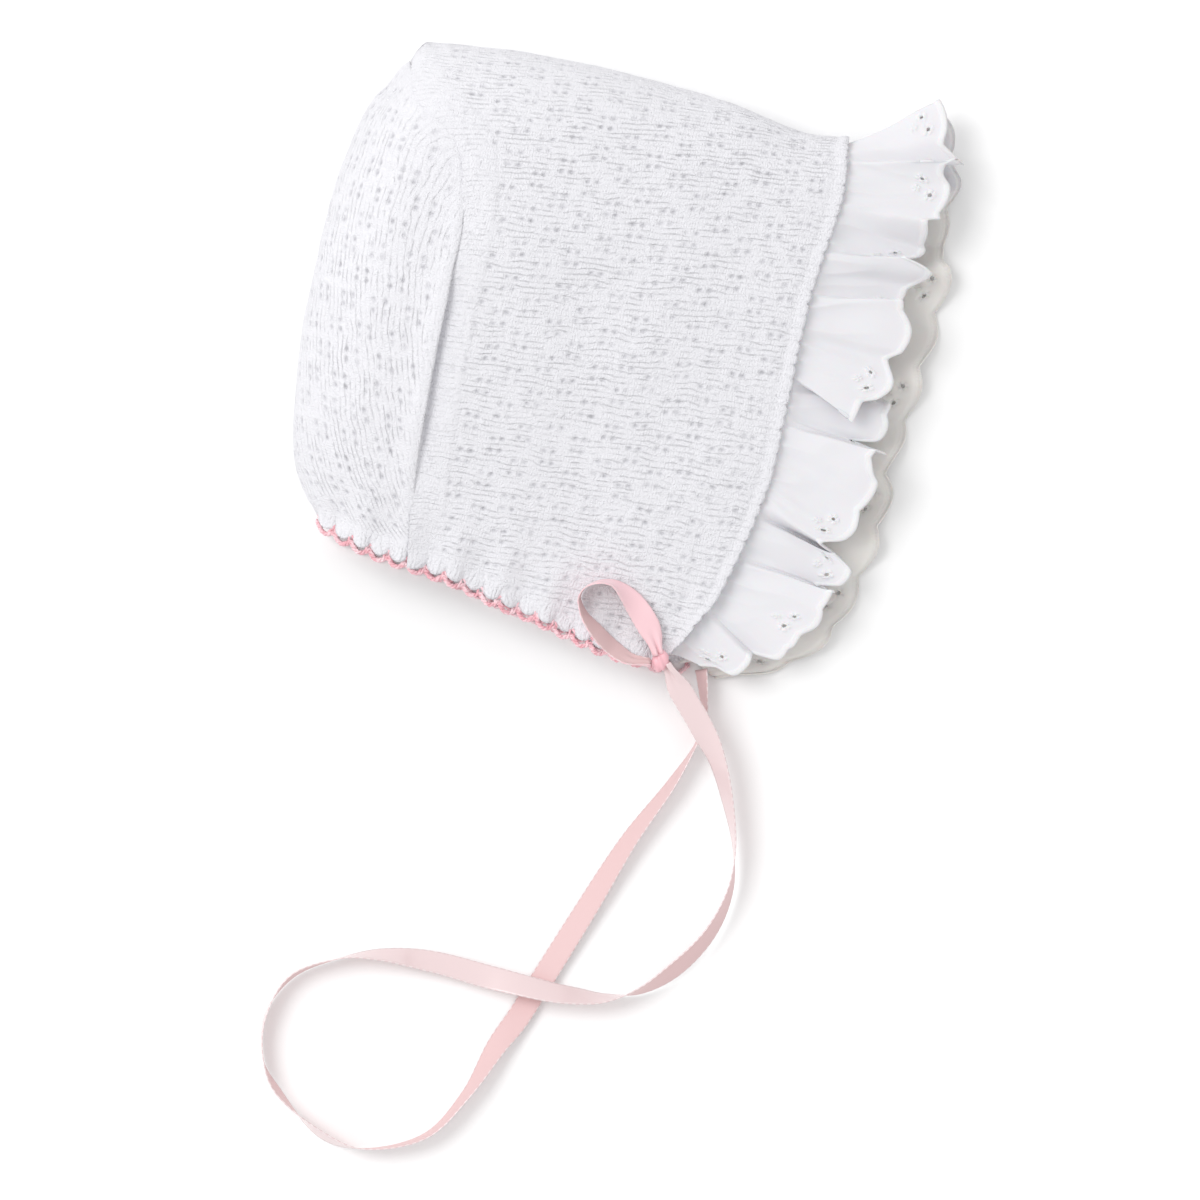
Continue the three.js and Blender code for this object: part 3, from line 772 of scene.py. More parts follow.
def finish_piece(
    name: str,
    mesh: bmesh.types.BMesh,
    slot: Slot,
    materials: Sequence[bpy.types.Material],
    nodes: Sequence[str],
    wall: float = 0.0,
    offset: float = -1.0,
) -> bpy.types.Object:
    """Makes an object of a finished mesh, and ties it to the frame.

    Args:
        name: The piece's name.
        mesh: Its mesh, in the part's frame.
        slot: The record's material slot; it is not used.
        materials: Its materials. A second one goes on the cloth's reverse.
        nodes: The solids that it stands for.
        wall: The cloth's thickness, or 0 where the mesh is closed already.
        offset: Where the mesh lies in the wall, -1 for the outer face and 0 for the middle.

    Returns:
        The finished object.
    """
    data = bpy.data.meshes.new(name)
    thinned = mesh.verts.layers.deform.active is not None
    mesh.to_mesh(data)
    mesh.free()
    for material in materials:
        data.materials.append(material)
    piece = bpy.data.objects.new(name, data)
    bpy.context.scene.collection.objects.link(piece)
    if wall:
        solid = piece.modifiers.new("wall", "SOLIDIFY")
        solid.thickness = wall
        solid.offset = offset
        solid.material_offset = len(materials) - 1
        if thinned:
            piece.vertex_groups.new(name="wall")
            solid.vertex_group = "wall"
    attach(piece, "root")
    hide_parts(*nodes)
    LOG.info("%s: %d vertices", name, len(data.vertices))
    return piece


def coons(
    left: Callable[[float], Spot],
    right: Callable[[float], Spot],
    top: Callable[[float], Spot],
    bottom: Callable[[float], Spot],
) -> Callable[[float, float], Spot]:
    """Fills the space between four boundary lines.

    Args:
        left: The line at u = 0, by v.
        right: The line at u = 1, by v.
        top: The line at v = 0, by u.
        bottom: The line at v = 1, by u.

    Returns:
        A function that gives the point at u and v.
    """
    corners = (left(0.0), right(0.0), left(1.0), right(1.0))

    def at(u: float, v: float) -> Spot:
        """Returns the point at u and v."""
        sides = (left(v), right(v), top(u), bottom(u))
        values = []
        for axis in (0, 1):
            across = lerp(sides[0][axis], sides[1][axis], u) + lerp(sides[2][axis], sides[3][axis], v)
            first = lerp(corners[0][axis], corners[1][axis], u)
            last = lerp(corners[2][axis], corners[3][axis], u)
            values.append(across - lerp(first, last, v))
        return Spot(*values)

    return at


def arc_lengths(points: Sequence[Vector]) -> list[float]:
    """Returns the distance along the points to each of them."""
    distances = [0.0]
    for first, second in zip(points, points[1:]):
        distances.append(distances[-1] + (second - first).length)
    return distances


@dataclass(frozen=True)
class KnitEdges:
    """How the knit ends: puffs along the neck, a rolled edge at the face and one that tucks into the seam."""

    form: Form
    puff_drop: float = 0.0013
    puff_bulge: float = 0.0007
    puff_reach: float = 0.0045
    notch_depth: float = 0.0005
    notch_reach: float = 0.0040
    gather_reach: float = 0.0075
    corner_height: float = 0.0028
    thinnest: float = 0.12
    rim_share: float = 0.4
    rim_reach: float = 0.0016
    step_start: float = 0.45
    corner_share: float = 0.04

    def raised(self, point: Vector) -> float:
        """Returns how far the knit bulges out near the neck."""
        above = point.y - NECK_LINE(point.x)
        puff = self.puff_bulge * self.form.puff(point.x) * (1.0 - smooth(above / self.puff_reach))
        pinch = 1.0 - self.form.puff(point.x)
        return puff - self.notch_depth * pinch**4 * (1.0 - smooth(above / self.notch_reach))

    def gathered(self, point: Vector) -> float:
        """Returns how strongly the neck's edging gathers the knit at a point."""
        return 1.0 - smooth((point.y - NECK_LINE(point.x)) / self.gather_reach)

    def wall_share(self, point: Vector, layer: Layer, to_rim: float) -> float:
        """Finds how much of its thickness the wall has at a point.

        Args:
            point: The point.
            layer: The cloth that it is on.
            to_rim: How far it is from the panel's seam or face edge.

        Returns:
            A share, small in the corners of the folds, where the two cloths come together.
        """
        other = Layer.LOWER if layer is Layer.UPPER else Layer.UPPER
        room = abs(self.form.skin(point.x, point.y, other, 0.0).z - point.z) / self.corner_height
        rim = lerp(self.rim_share, 1.0, smooth(to_rim / self.rim_reach))
        return max(self.thinnest, min(rim, clamp01(room)))

    def off_fold(self, share: float) -> float:
        """Returns 0 at the crown corner, where the panels meet on the fold, and 1 a little way from it."""
        return smooth(share / self.corner_share)

    def stands_over(self, point: Vector) -> float:
        """Returns how far the back's edge stands over the side's, 0 high up and 1 where it is deep."""
        return smooth((STEP_BY_HEIGHT(point.y) - self.step_start) / (1.0 - self.step_start))

    def drop(self, point: Vector) -> float:
        """Returns how far the knit's puffs hang over the neck edge."""
        near = 1.0 - smooth((point.y - NECK_LINE(point.x)) / self.puff_reach)
        return self.puff_drop * self.form.puff(point.x) * near

    def settle(self, vertex: bmesh.types.BMVert, point: Vector) -> None:
        """Lets a vertex hang with its puff, keeps it above the ground and moves it to the part's frame.

        Args:
            vertex: The vertex.
            point: The point of the smooth cloth that it was made at.
        """
        vertex.co.y -= self.drop(point)
        vertex.co.z = max(0.0, vertex.co.z)
        vertex.co += OWN_ORIGIN


@dataclass(frozen=True)
class SidePanel:
    """The knit from the back seam to the face, folded over the crown."""

    form: Form
    openwork: Openwork
    edges: KnitEdges
    columns: int = 150
    upper_rows: int = 228
    lower_rows: int = 60
    column_spacing: float = 0.2
    upper_spacing: float = 0.25
    lower_spacing: float = 0.5
    wall: float = 0.0012
    seam_tuck: float = 0.0015
    seam_lap: float = 0.0012
    seam_drop: float = 0.0011
    seam_reach: float = 0.0030
    flange: float = 0.0033
    flange_reach: float = 0.0012
    band: float = 0.0085
    band_fade: float = 0.0015
    band_rise: float = 0.0003
    band_openwork: float = 0.35
    plain_edge: float = 0.0025
    plain_fade: float = 0.003
    swell: float = 0.0007
    swell_size: float = 0.022
    roll: float = 0.0004
    roll_plain: float = 0.35
    roll_middle: float = 0.0013
    roll_width: float = 0.0013
    groove: float = 0.0003
    groove_middle: float = 0.0042
    groove_width: float = 0.0008
    notch_depth: float = 0.0007
    notch_reach: float = 0.0016
    notch_unevenness: float = 1.2
    notch_size: float = 0.005
    stand_off: float = 0.0008
    stand_off_reach: float = 0.012
    stand_off_below: float = -0.030
    stand_off_fade: float = 0.030
    seam_start: float = 0.05
    half_gap: float = 0.0003
    wale_from: float = -0.030
    wale_slope: float = 0.33
    wale_turn: float = -0.15

    def plan(self) -> Callable[[float, float], Spot]:
        """Returns the panel's outline, filled, seen from above."""

        def left(v: float) -> Spot:
            """Returns a point of the seam, which starts on the crown fold."""
            point = SEAM.walk(v)[0]
            gap = self.half_gap * smooth(v / self.seam_start)
            return Spot(point.x + gap, point.y + gap)

        def right(v: float) -> Spot:
            """Returns a point of the face edge."""
            y = lerp(CROWN_END.y, NECK_END.y, v)
            return Spot(FACE_LINE(y), y)

        start = left(0.0)
        foot = left(1.0)

        def top(u: float) -> Spot:
            """Returns a point of the crown fold."""
            x = lerp(start.x, CROWN_END.x, u)
            return Spot(x, CROWN_LINE(x) + (start.y - CROWN_LINE(start.x)) * (1.0 - u))

        def bottom(u: float) -> Spot:
            """Returns a point of the neck edge."""
            x = lerp(foot.x, NECK_END.x, u)
            return Spot(x, NECK_LINE(x))

        return coons(left, right, top, bottom)

    def share(self, j: int) -> tuple[Layer, float]:
        """Returns the cloth and the share of the way from the fold of a row."""
        if j <= self.upper_rows:
            return Layer.UPPER, crowded(1.0 - j / self.upper_rows, self.upper_spacing)
        return Layer.LOWER, crowded((j - self.upper_rows) / self.lower_rows, self.lower_spacing)

    def cloth(self) -> Points:
        """Works out the smooth cloth.

        Returns:
            Its points by column, from the seam to the face, and by row, from the upper neck edge on.
        """
        plan = self.plan()
        points: Points = {}
        for i in range(self.columns + 1):
            u = crowded(i / self.columns, self.column_spacing)
            for j in range(self.upper_rows + self.lower_rows + 1):
                layer, v = self.share(j)
                spot = plan(u, v)
                step = 0.0
                if layer is Layer.UPPER:
                    step = -self.form.step_sunk * self.form.seam_step(spot.x, spot.y)
                point = self.form.skin(spot.x, spot.y, layer, 0.0, step)
                if layer is Layer.LOWER:
                    point.x += self.form.lower_shift * u * v
                points[i, j] = point
        return points

    def wale(self, point: Vector, run: Profile) -> float:
        """Finds which wale of the knit a point of the upper cloth is on.

        Args:
            point: The point.
            run: The distance over the cloth from the crown fold, by the share of the way to the neck.

        Returns:
            The count of rows from the crown fold.
        """
        crown = CROWN_LINE(point.x)
        share = clamp01((crown - point.y) / (crown - NECK_LINE(point.x)))
        fall = (crown - CROWN_LINE(self.wale_from)) * (1.0 - share)
        fall += (NECK_LINE(point.x) - NECK_LINE(self.wale_from)) * share
        rise = (self.wale_slope + self.wale_turn * share) * (point.x - self.wale_from)
        stretch = run(1.0) / (CROWN_LINE(self.wale_from) - NECK_LINE(self.wale_from))
        return (run(share) + (rise - fall) * stretch) / self.openwork.row

    def pattern(self, points: Points) -> Pattern:
        """Finds where the cloth's points lie in the knit.

        Args:
            points: The cloth's points.

        Returns:
            The counts of cells and rows at each.
        """
        middle = self.columns // 2
        line = [points[middle, j] for j in range(self.upper_rows, -1, -1)]
        run = Profile(
            (clamp01((line[0].y - point.y) / (line[0].y - line[-1].y)) + TINY * k, distance)
            for k, (point, distance) in enumerate(zip(line, arc_lengths(line)))
        )
        knit: Pattern = {}
        for (i, j), point in points.items():
            if self.share(j)[0] is Layer.UPPER:
                row = self.wale(point, run)
            else:
                row = (point.y - CROWN_LINE(point.x)) / self.openwork.row
            shift = self.openwork.wander(point)
            knit[i, j] = (point.x / self.openwork.cell + shift[0], row + shift[1])
        return knit

    def notch(self, point: Vector, to_face: float, row: float) -> float:
        """Finds how far the face edge is drawn in between two stitches.

        Args:
            point: The point of the cloth.
            to_face: How far it is from the face edge.
            row: Its place across the ribs, counted in rows.

        Returns:
            How far the point moves back from the face.
        """
        near_face = 1.0 - smooth(to_face / self.notch_reach)
        pinch = 1.0 - abs(math.sin(math.pi * row))
        uneven = 1.0 + self.notch_unevenness * roughness_at(point, self.notch_size)
        return self.notch_depth * near_face * pinch**2 * uneven

    def build(self, materials: Sequence[bpy.types.Material]) -> bpy.types.Object:
        """Builds the panel.

        Args:
            materials: Its knit.

        Returns:
            The finished piece.
        """
        points = self.cloth()
        knit = self.pattern(points)

        def from_seam(i: int, j: int) -> float:
            """Returns how far a point is from the seam."""
            return (points[i, j] - points[0, j]).length

        def to_face(i: int, j: int) -> float:
            """Returns how far a point is from the face edge."""
            return (points[i, j] - points[self.columns, j]).length

        def in_band(i: int, j: int) -> float:
            """Returns 1 in the plainer band beside the seam and 0 beyond it."""
            return 1.0 - smooth((from_seam(i, j) - self.band) / self.band_fade)

        def openness(i: int, j: int) -> float:
            """Returns how much of the openwork a point shows."""
            clear = smooth((to_face(i, j) - self.plain_edge) / self.plain_fade)
            clear *= 1.0 - self.edges.gathered(points[i, j])
            return clear * lerp(1.0, self.band_openwork, in_band(i, j))

        def relief(i: int, j: int) -> float:
            """Returns how far the knit is raised from the smooth cloth at a point."""
            point = points[i, j]
            layer, v = self.share(j)
            out = self.openwork.relief(*knit[i, j]) * openness(i, j)
            if layer is Layer.LOWER:
                return min(0.0, out)
            seam, face = from_seam(i, j), to_face(i, j)
            out += self.swell * roughness_at(point, self.swell_size)
            bead = lerp(self.roll_plain, 1.0, abs(math.sin(math.pi * knit[i, j][1])))
            out += self.roll * bead * bump_at(face, self.roll_middle, self.roll_width)
            out -= self.groove * bump_at(face, self.groove_middle, self.groove_width)
            low = smooth((self.stand_off_below - point.y) / self.stand_off_fade)
            out += self.stand_off * low * (1.0 - smooth(face / self.stand_off_reach))
            out += self.band_rise * in_band(i, j) * self.edges.off_fold(v)
            step = self.flange * (1.0 - smooth(seam / self.flange_reach))
            step -= self.seam_drop * (1.0 - smooth(seam / self.seam_reach))
            out += step * self.edges.stands_over(point)
            return out + self.edges.raised(point)

        mesh = start_knit()
        rows = self.upper_rows + self.lower_rows
        grid = add_grid(mesh, self.columns, rows, lambda i, j: points[i, j], lambda i, j: knit[i, j])
        raise_grid(mesh, grid, relief)
        for (i, j), vertex in grid.items():
            point = points[i, j]
            layer, v = self.share(j)
            seam, face = from_seam(i, j), to_face(i, j)
            vertex.co.x -= self.notch(point, face, knit[i, j][1])
            if layer is Layer.UPPER:
                under = self.edges.stands_over(point)
                at_seam = self.edges.off_fold(v) * (1.0 - smooth(seam / self.seam_reach))
                vertex.co.x -= lerp(self.seam_lap, self.seam_tuck, under) * at_seam
                vertex.co.y -= self.seam_lap * (1.0 - under) * at_seam
            self.edges.settle(vertex, point)
            wall = self.edges.wall_share(point, layer, min(seam, face))
            mark(mesh, vertex, openness(i, j), self.edges.gathered(point), wall)
        return finish_piece("side_panel_knit", mesh, Slot.KNIT, materials, ["side_panel"], self.wall)


@dataclass(frozen=True)
class BackPanel:
    """The ribbed back of the head, folded down its middle."""

    form: Form
    openwork: Openwork
    edges: KnitEdges
    upper_columns: int = 90
    lower_columns: int = 36
    rows: int = 200
    upper_spacing: float = 0.4
    lower_spacing: float = 0.5
    wall: float = 0.0012
    half_gap: float = 0.0003
    seam_turn: float = 0.172
    lean: float = 0.20
    lean_from: float = -0.004
    plain_edge: float = 0.001
    band: float = 0.0046
    band_bulge: float = 0.0003
    band_fullness: float = 0.4
    lip: float = 0.0006
    lip_drop: float = 0.0004
    lip_reach: float = 0.0016
    swell: float = 0.0006
    swell_size: float = 0.020

    def plan(self) -> Callable[[float, float], Spot]:
        """Returns the panel's outline, filled, seen from above."""
        top_y = BACK_SEAM[0].y - self.half_gap
        foot = SEAM.walk(1.0)[0]

        def left(v: float) -> Spot:
            """Returns a point of the back fold."""
            y = lerp(top_y, NECK_START.y, v)
            return Spot(BACK_LINE(y), y)

        def seam_at(share: float) -> Spot:
            """Returns a point beside the seam, at a share of its length."""
            point = SEAM.walk(share)[0]
            return Spot(point.x - self.half_gap, point.y - self.half_gap)

        def right(v: float) -> Spot:
            """Returns a point of the seam's upright stretch."""
            return seam_at(lerp(self.seam_turn, 1.0, v))

        start = left(0.0)
        first = seam_at(0.0)

        def top(u: float) -> Spot:
            """Returns a point of the seam's stretch under the crown."""
            point = seam_at(self.seam_turn * u)
            back = 1.0 - u
            return Spot(point.x + (start.x - first.x) * back, point.y + (start.y - first.y) * back)

        def bottom(u: float) -> Spot:
            """Returns a point of the neck edge."""
            x = lerp(NECK_START.x, foot.x - self.half_gap, u)
            return Spot(x, NECK_LINE(x))

        return coons(left, right, top, bottom)

    def share(self, i: int) -> tuple[Layer, float]:
        """Returns the cloth and the share of the way from the fold of a column."""
        if i < self.lower_columns:
            return Layer.LOWER, crowded(1.0 - i / self.lower_columns, self.lower_spacing)
        return Layer.UPPER, crowded((i - self.lower_columns) / self.upper_columns, self.upper_spacing)

    def cloth(self) -> Points:
        """Works out the smooth cloth.

        Returns:
            Its points by column, from the lower seam to the upper, and by row, from the neck up.
        """
        plan = self.plan()
        points: Points = {}
        for j in range(self.rows + 1):
            v = 1.0 - j / self.rows
            for i in range(self.lower_columns + self.upper_columns + 1):
                layer, u = self.share(i)
                spot = plan(u, v)
                step = 0.0
                if layer is Layer.UPPER:
                    step = self.form.step_proud * self.form.seam_step(spot.x, spot.y)
                points[i, j] = self.form.skin(spot.x, spot.y, layer, 0.0, step)
        return points

    def pattern(self, points: Points) -> Pattern:
        """Finds where the cloth's points lie in the knit.

        Args:
            points: The cloth's points.

        Returns:
            The counts of cells and rows at each.
        """
        columns = self.lower_columns + self.upper_columns
        fold = [points[self.lower_columns, j] for j in range(self.rows, -1, -1)]
        down = Profile((-point.y, distance) for point, distance in zip(fold, arc_lengths(fold)))
        knit: Pattern = {}
        for j in range(self.rows + 1):
            around = arc_lengths([points[i, j] for i in range(columns + 1)])
            for i in range(columns + 1):
                point = points[i, j]
                layer, u = self.share(i)
                run = around[i] - around[self.lower_columns]
                if layer is Layer.UPPER:
                    run -= self.lean * u * u * max(0.0, point.y - self.lean_from)
                shift = self.openwork.wander(point)
                cells = down(-point.y) / self.openwork.cell + shift[0]
                knit[i, j] = (cells, run / self.openwork.row + shift[1])
        return knit

    def seam_distances(self, points: Points) -> dict[tuple[int, int], float]:
        """Measures how far the cloth's points are from its edge at the seam, seen from above.

        Args:
            points: The cloth's points.

        Returns:
            The distance of each.
        """
        seam = KDTree(len(SEAM.line))
        for k, spot in enumerate(SEAM.line):
            seam.insert(spot, k)
        seam.balance()
        near = {}
        for place, point in points.items():
            distance = seam.find(Vector((point.x, point.y, 0.0)))[2]
            near[place] = max(0.0, distance - self.half_gap)
        return near

    def build(self, materials: Sequence[bpy.types.Material]) -> bpy.types.Object:
        """Builds the panel.

        Args:
            materials: Its knit.

        Returns:
            The finished piece.
        """
        points = self.cloth()
        knit = self.pattern(points)
        near = self.seam_distances(points)

        def openness(i: int, j: int) -> float:
            """Returns how much of the openwork a point shows."""
            clear = smooth((near[i, j] - self.plain_edge) / self.band)
            return clear * (1.0 - self.edges.gathered(points[i, j]))

        def relief(i: int, j: int) -> float:
            """Returns how far the knit is raised from the smooth cloth at a point."""
            point = points[i, j]
            out = self.openwork.relief(*knit[i, j]) * openness(i, j)
            if self.share(i)[0] is Layer.LOWER:
                return min(0.0, out)
            out += self.swell * roughness_at(point, self.swell_size)
            out += self.band_bulge * ridge(near[i, j], 0.0, self.band, self.band_fullness)
            drop = self.lip_drop * self.edges.off_fold(1.0 - j / self.rows)
            out -= drop * (1.0 - smooth(near[i, j] / self.lip_reach))
            return out + self.edges.raised(point)

        mesh = start_knit()
        columns = self.lower_columns + self.upper_columns
        grid = add_grid(mesh, columns, self.rows, lambda i, j: points[i, j], lambda i, j: knit[i, j])
        raise_grid(mesh, grid, relief)
        for (i, j), vertex in grid.items():
            point = points[i, j]
            layer = self.share(i)[0]
            if layer is Layer.UPPER:
                lip = self.lip * self.edges.stands_over(point)
                vertex.co.x += lip * (1.0 - smooth(near[i, j] / self.lip_reach))
            self.edges.settle(vertex, point)
            wall = self.edges.wall_share(point, layer, near[i, j])
            mark(mesh, vertex, openness(i, j), self.edges.gathered(point), wall)
        return finish_piece("back_panel_knit", mesh, Slot.KNIT, materials, ["back_panel"], self.wall)


@dataclass(frozen=True)
class FaceRuffle:
    """The gathered eyelet ruffle, sewn inside the face edge."""

    form: Form
    across: int = 43
    along_upper: int = 510
    along_lower: int = 220
    wall: float = 0.0005
    depth: float = 0.0020
    corner_depth: float = 0.0036
    corner_from: float = 0.6
    corner_fade: float = 0.3
    root_tuck: float = 0.004
    mouth_share: float = 0.12
    mouth_beyond: float = 0.0008
    out_power: float = 0.85
    rise_power: float = 0.7
    clear: float = 0.0006
    tail_gap: float = 0.008
    tail_drop: float = 0.007
    tail_lowest: float = 0.003
    scallop: float = 0.0178
    scallop_depth: float = 0.075
    border: float = 0.0019
    border_height: float = 0.0005
    gather: float = 0.0006
    gather_fade: float = 1.3
    gather_sink: float = 1.2
    creases_round: float = 62.0
    creases_out: float = 1.1
    crease_seed: float = 3.0
    swell: float = 0.0005
    swell_size: float = 0.012
    petal: float = 0.0015
    petal_height: float = 0.00038
    petal_waist: float = 0.25
    petal_margin: float = 0.001
    petals: int = 5
    rim_share: float = 0.8
    rim_middle: float = 0.0002
    rim_width: float = 0.0003
    sprig_every: int = 2

    def hems(self) -> list[tuple[float, Vector]]:
        """Returns the outer edge's points by w, which runs from the upper neck corner over the crown."""
        rows: list[tuple[float, Vector]] = []
        for before, hem in zip((UPPER_RUFFLE[0], *UPPER_RUFFLE), UPPER_RUFFLE):
            place = Vector((hem.x, hem.y, hem.z))
            if hem.tuck:
                along = (place - Vector((before.x, before.y, before.z))).normalized()
                tail = place + along * hem.tuck
                tail.z = max(self.tail_lowest, hem.z - self.tail_drop)
                rows.append((0.5 - (hem.share - self.tail_gap) / 2.0, tail))
            rows.append((0.5 - hem.share / 2.0, place))
        rows += [(0.5 + hem.share / 2.0, Vector((hem.x, hem.y, hem.z))) for hem in LOWER_RUFFLE]
        return sorted(rows, key=lambda row: row[0])

    def knit_edge(self, w: float, beyond: float) -> Vector:
        """Finds a point inside the knit's face edge.

        Args:
            w: The share of the way round the face, from the upper neck corner over the crown.
            beyond: How far past the edge the point lies, negative under the knit.

        Returns:
            The point, in the bonnet's own lines.
        """
        share = abs(1.0 - 2.0 * w)
        x = FACE_LINE(lerp(CROWN_END.y, NECK_END.y, share)) + min(0.0, beyond)
        y = lerp(CROWN_LINE(x), NECK_LINE(x), share)
        near_corner = smooth((share - self.corner_from) / self.corner_fade)
        depth = lerp(self.depth, self.corner_depth, near_corner)
        point = self.form.skin(x, y, Layer.UPPER if w < 0.5 else Layer.LOWER, depth)
        point.x += max(0.0, beyond) + (0.0 if w < 0.5 else self.form.lower_shift * share)
        return point

    def w_at(self, j: int) -> float:
        """Returns the share of the way round the face of a row."""
        if j <= self.along_upper:
            return 0.5 * j / self.along_upper
        return 0.5 + 0.5 * (j - self.along_upper) / self.along_lower

    def shape(self) -> tuple[Points, Pattern]:
        """Works out the ruffle's cloth.

        Returns:
            Its points by column and row, and their distances along the hem and in from it.
        """
        hems = self.hems()
        tips = [Profile((w, place[axis]) for w, place in hems) for axis in range(3)]
        rows = self.along_upper + self.along_lower
        outer = [Vector([tip(self.w_at(j)) for tip in tips]) for j in range(rows + 1)]
        along = arc_lengths(outer)
        points: Points = {}
        pattern: Pattern = {}
        for j in range(rows + 1):
            w = self.w_at(j)
            bulge = abs(math.sin(math.pi * along[j] / self.scallop))
            reach = 1.0 - self.scallop_depth * (1.0 - bulge)
            root = self.knit_edge(w, -self.root_tuck)
            mouth = self.knit_edge(w, self.mouth_beyond)
            depth = (outer[j] - mouth).length * reach
            for i in range(self.across + 1):
                r = i / self.across
                out = clamp01((r - self.mouth_share) / (1.0 - self.mouth_share)) ** self.out_power
                if r <= self.mouth_share:
                    points[i, j] = root.lerp(mouth, r / self.mouth_share)
                else:
                    points[i, j] = mouth.lerp(outer[j], out * reach)
                    points[i, j].z = lerp(mouth.z, outer[j].z, (out * reach) ** self.rise_power)
                pattern[i, j] = (along[j], depth * (1.0 - out))
        return points, pattern

    def relief(self, point: Vector, w: float, r: float, inward: float) -> float:
        """Finds how far the gathers, the soft creases and the corded border raise the cloth.

        Args:
            point: The point of the smooth cloth.
            w: The share of the way round the face.
            r: The share of the way from the root to the hem.
            inward: The distance in from the hem.

        Returns:
            The height of the cloth over the smooth one.
        """
        fade = 1.0 - smooth((r - self.mouth_share) * self.gather_fade)
        near_root = smooth(r / self.mouth_share) * fade
        crease = noise.noise(Vector((w * self.creases_round, r * self.creases_out, self.crease_seed)))
        out = self.gather * near_root * (2.0 * (1.0 - abs(crease)) ** 2 - self.gather_sink)
        out += self.swell * roughness_at(point, self.swell_size)
        return out + self.border_height * ridge(inward, 0.0, self.border)

    def eyelets(self, length: float) -> list[tuple[Vector, float]]:
        """Returns the places and radii of the eyelets along a hem of the given length."""
        places = []
        for k in range(0, round(length / self.scallop), self.sprig_every):
            middle = (k + 0.5) * self.scallop
            places += [(Vector((middle + spot.along, spot.inward)), spot.radius) for spot in SPRIG]
        return places

    def stitches(self, away: Vector, radius: float) -> float:
        """Finds how far the petals and the rim of an eyelet stand up.

        Args:
            away: The way from the eyelet's middle, over the cloth.
            radius: The eyelet's radius.

        Returns:
            Their height, as a share of a petal's.
        """
        band = ridge(away.length, radius, self.petal)
        rim = bump_at(away.length, radius + self.rim_middle, self.rim_width)
        lobe = abs(math.cos(self.petals * 0.5 * math.atan2(away.y, away.x)))
        return max(band * lerp(self.petal_waist, 1.0, lobe), self.rim_share * rim)

    def add_eyelets(self, mesh: bmesh.types.BMesh, length: float) -> None:
        """Cuts the eyelets and raises the stitched petals round them.

        Args:
            mesh: The ruffle's mesh, whose UV map holds the distances along the hem and in from it.
            length: The hem's length.
        """
        uv = mesh.loops.layers.uv.verify()
        stitched = mesh.verts.layers.float.new("stitched")

        def middle(face: bmesh.types.BMFace) -> Vector:
            """Returns the place of a face's middle, along the hem and in from it."""
            total = sum((loop[uv].uv for loop in face.loops), Vector((0.0, 0.0)))
            return total / len(face.loops)

        holes = self.eyelets(length)
        reach = max(radius for _, radius in holes) + self.petal
        deepest = max(spot.inward for spot in SPRIG) + reach
        places = {face: middle(face) for face in mesh.faces}
        near = []
        for face, place in places.items():
            if place.y < deepest and any((place - spot).length < reach for spot, _ in holes):
                near.append(face)
        edges = list({edge for face in near for edge in face.edges})
        bmesh.ops.subdivide_edges(mesh, edges=edges, cuts=2, use_grid_fill=True)
        mesh.normal_update()
        shares = {}
        open_faces = set()
        for face in mesh.faces:
            place = middle(face)
            if place.y > deepest:
                continue
            for spot, radius in holes:
                if (place - spot).length > radius + self.petal + self.petal_margin:
                    continue
                if (place - spot).length < radius:
                    open_faces.add(face)
                for loop in face.loops:
                    shares[loop.vert] = self.stitches(loop[uv].uv - spot, radius)
        for vertex, share in shares.items():
            vertex.co += vertex.normal * (self.petal_height * share)
            vertex[stitched] = share
        bmesh.ops.delete(mesh, geom=list(open_faces), context="FACES")
        for face in mesh.faces:
            face.smooth = True

    def build(self, materials: Sequence[bpy.types.Material]) -> bpy.types.Object:
        """Builds the ruffle.

        Args:
            materials: Its cotton.

        Returns:
            The finished piece.
        """
        points, pattern = self.shape()
        rows = self.along_upper + self.along_lower
        mesh = bmesh.new()
        grid = add_grid(mesh, self.across, rows, lambda i, j: points[i, j], lambda i, j: pattern[i, j])

        def relief(i: int, j: int) -> float:
            """Returns how far the cloth is raised at a point."""
            return self.relief(points[i, j], self.w_at(j), i / self.across, pattern[i, j][1])

        raise_grid(mesh, grid, relief)
        self.add_eyelets(mesh, pattern[0, rows][0])
        for vertex in mesh.verts:
            vertex.co.z = max(self.clear, vertex.co.z)
            vertex.co += OWN_ORIGIN
        return finish_piece("face_ruffle_cotton", mesh, Slot.COTTON, materials, ["face_ruffle"], self.wall)


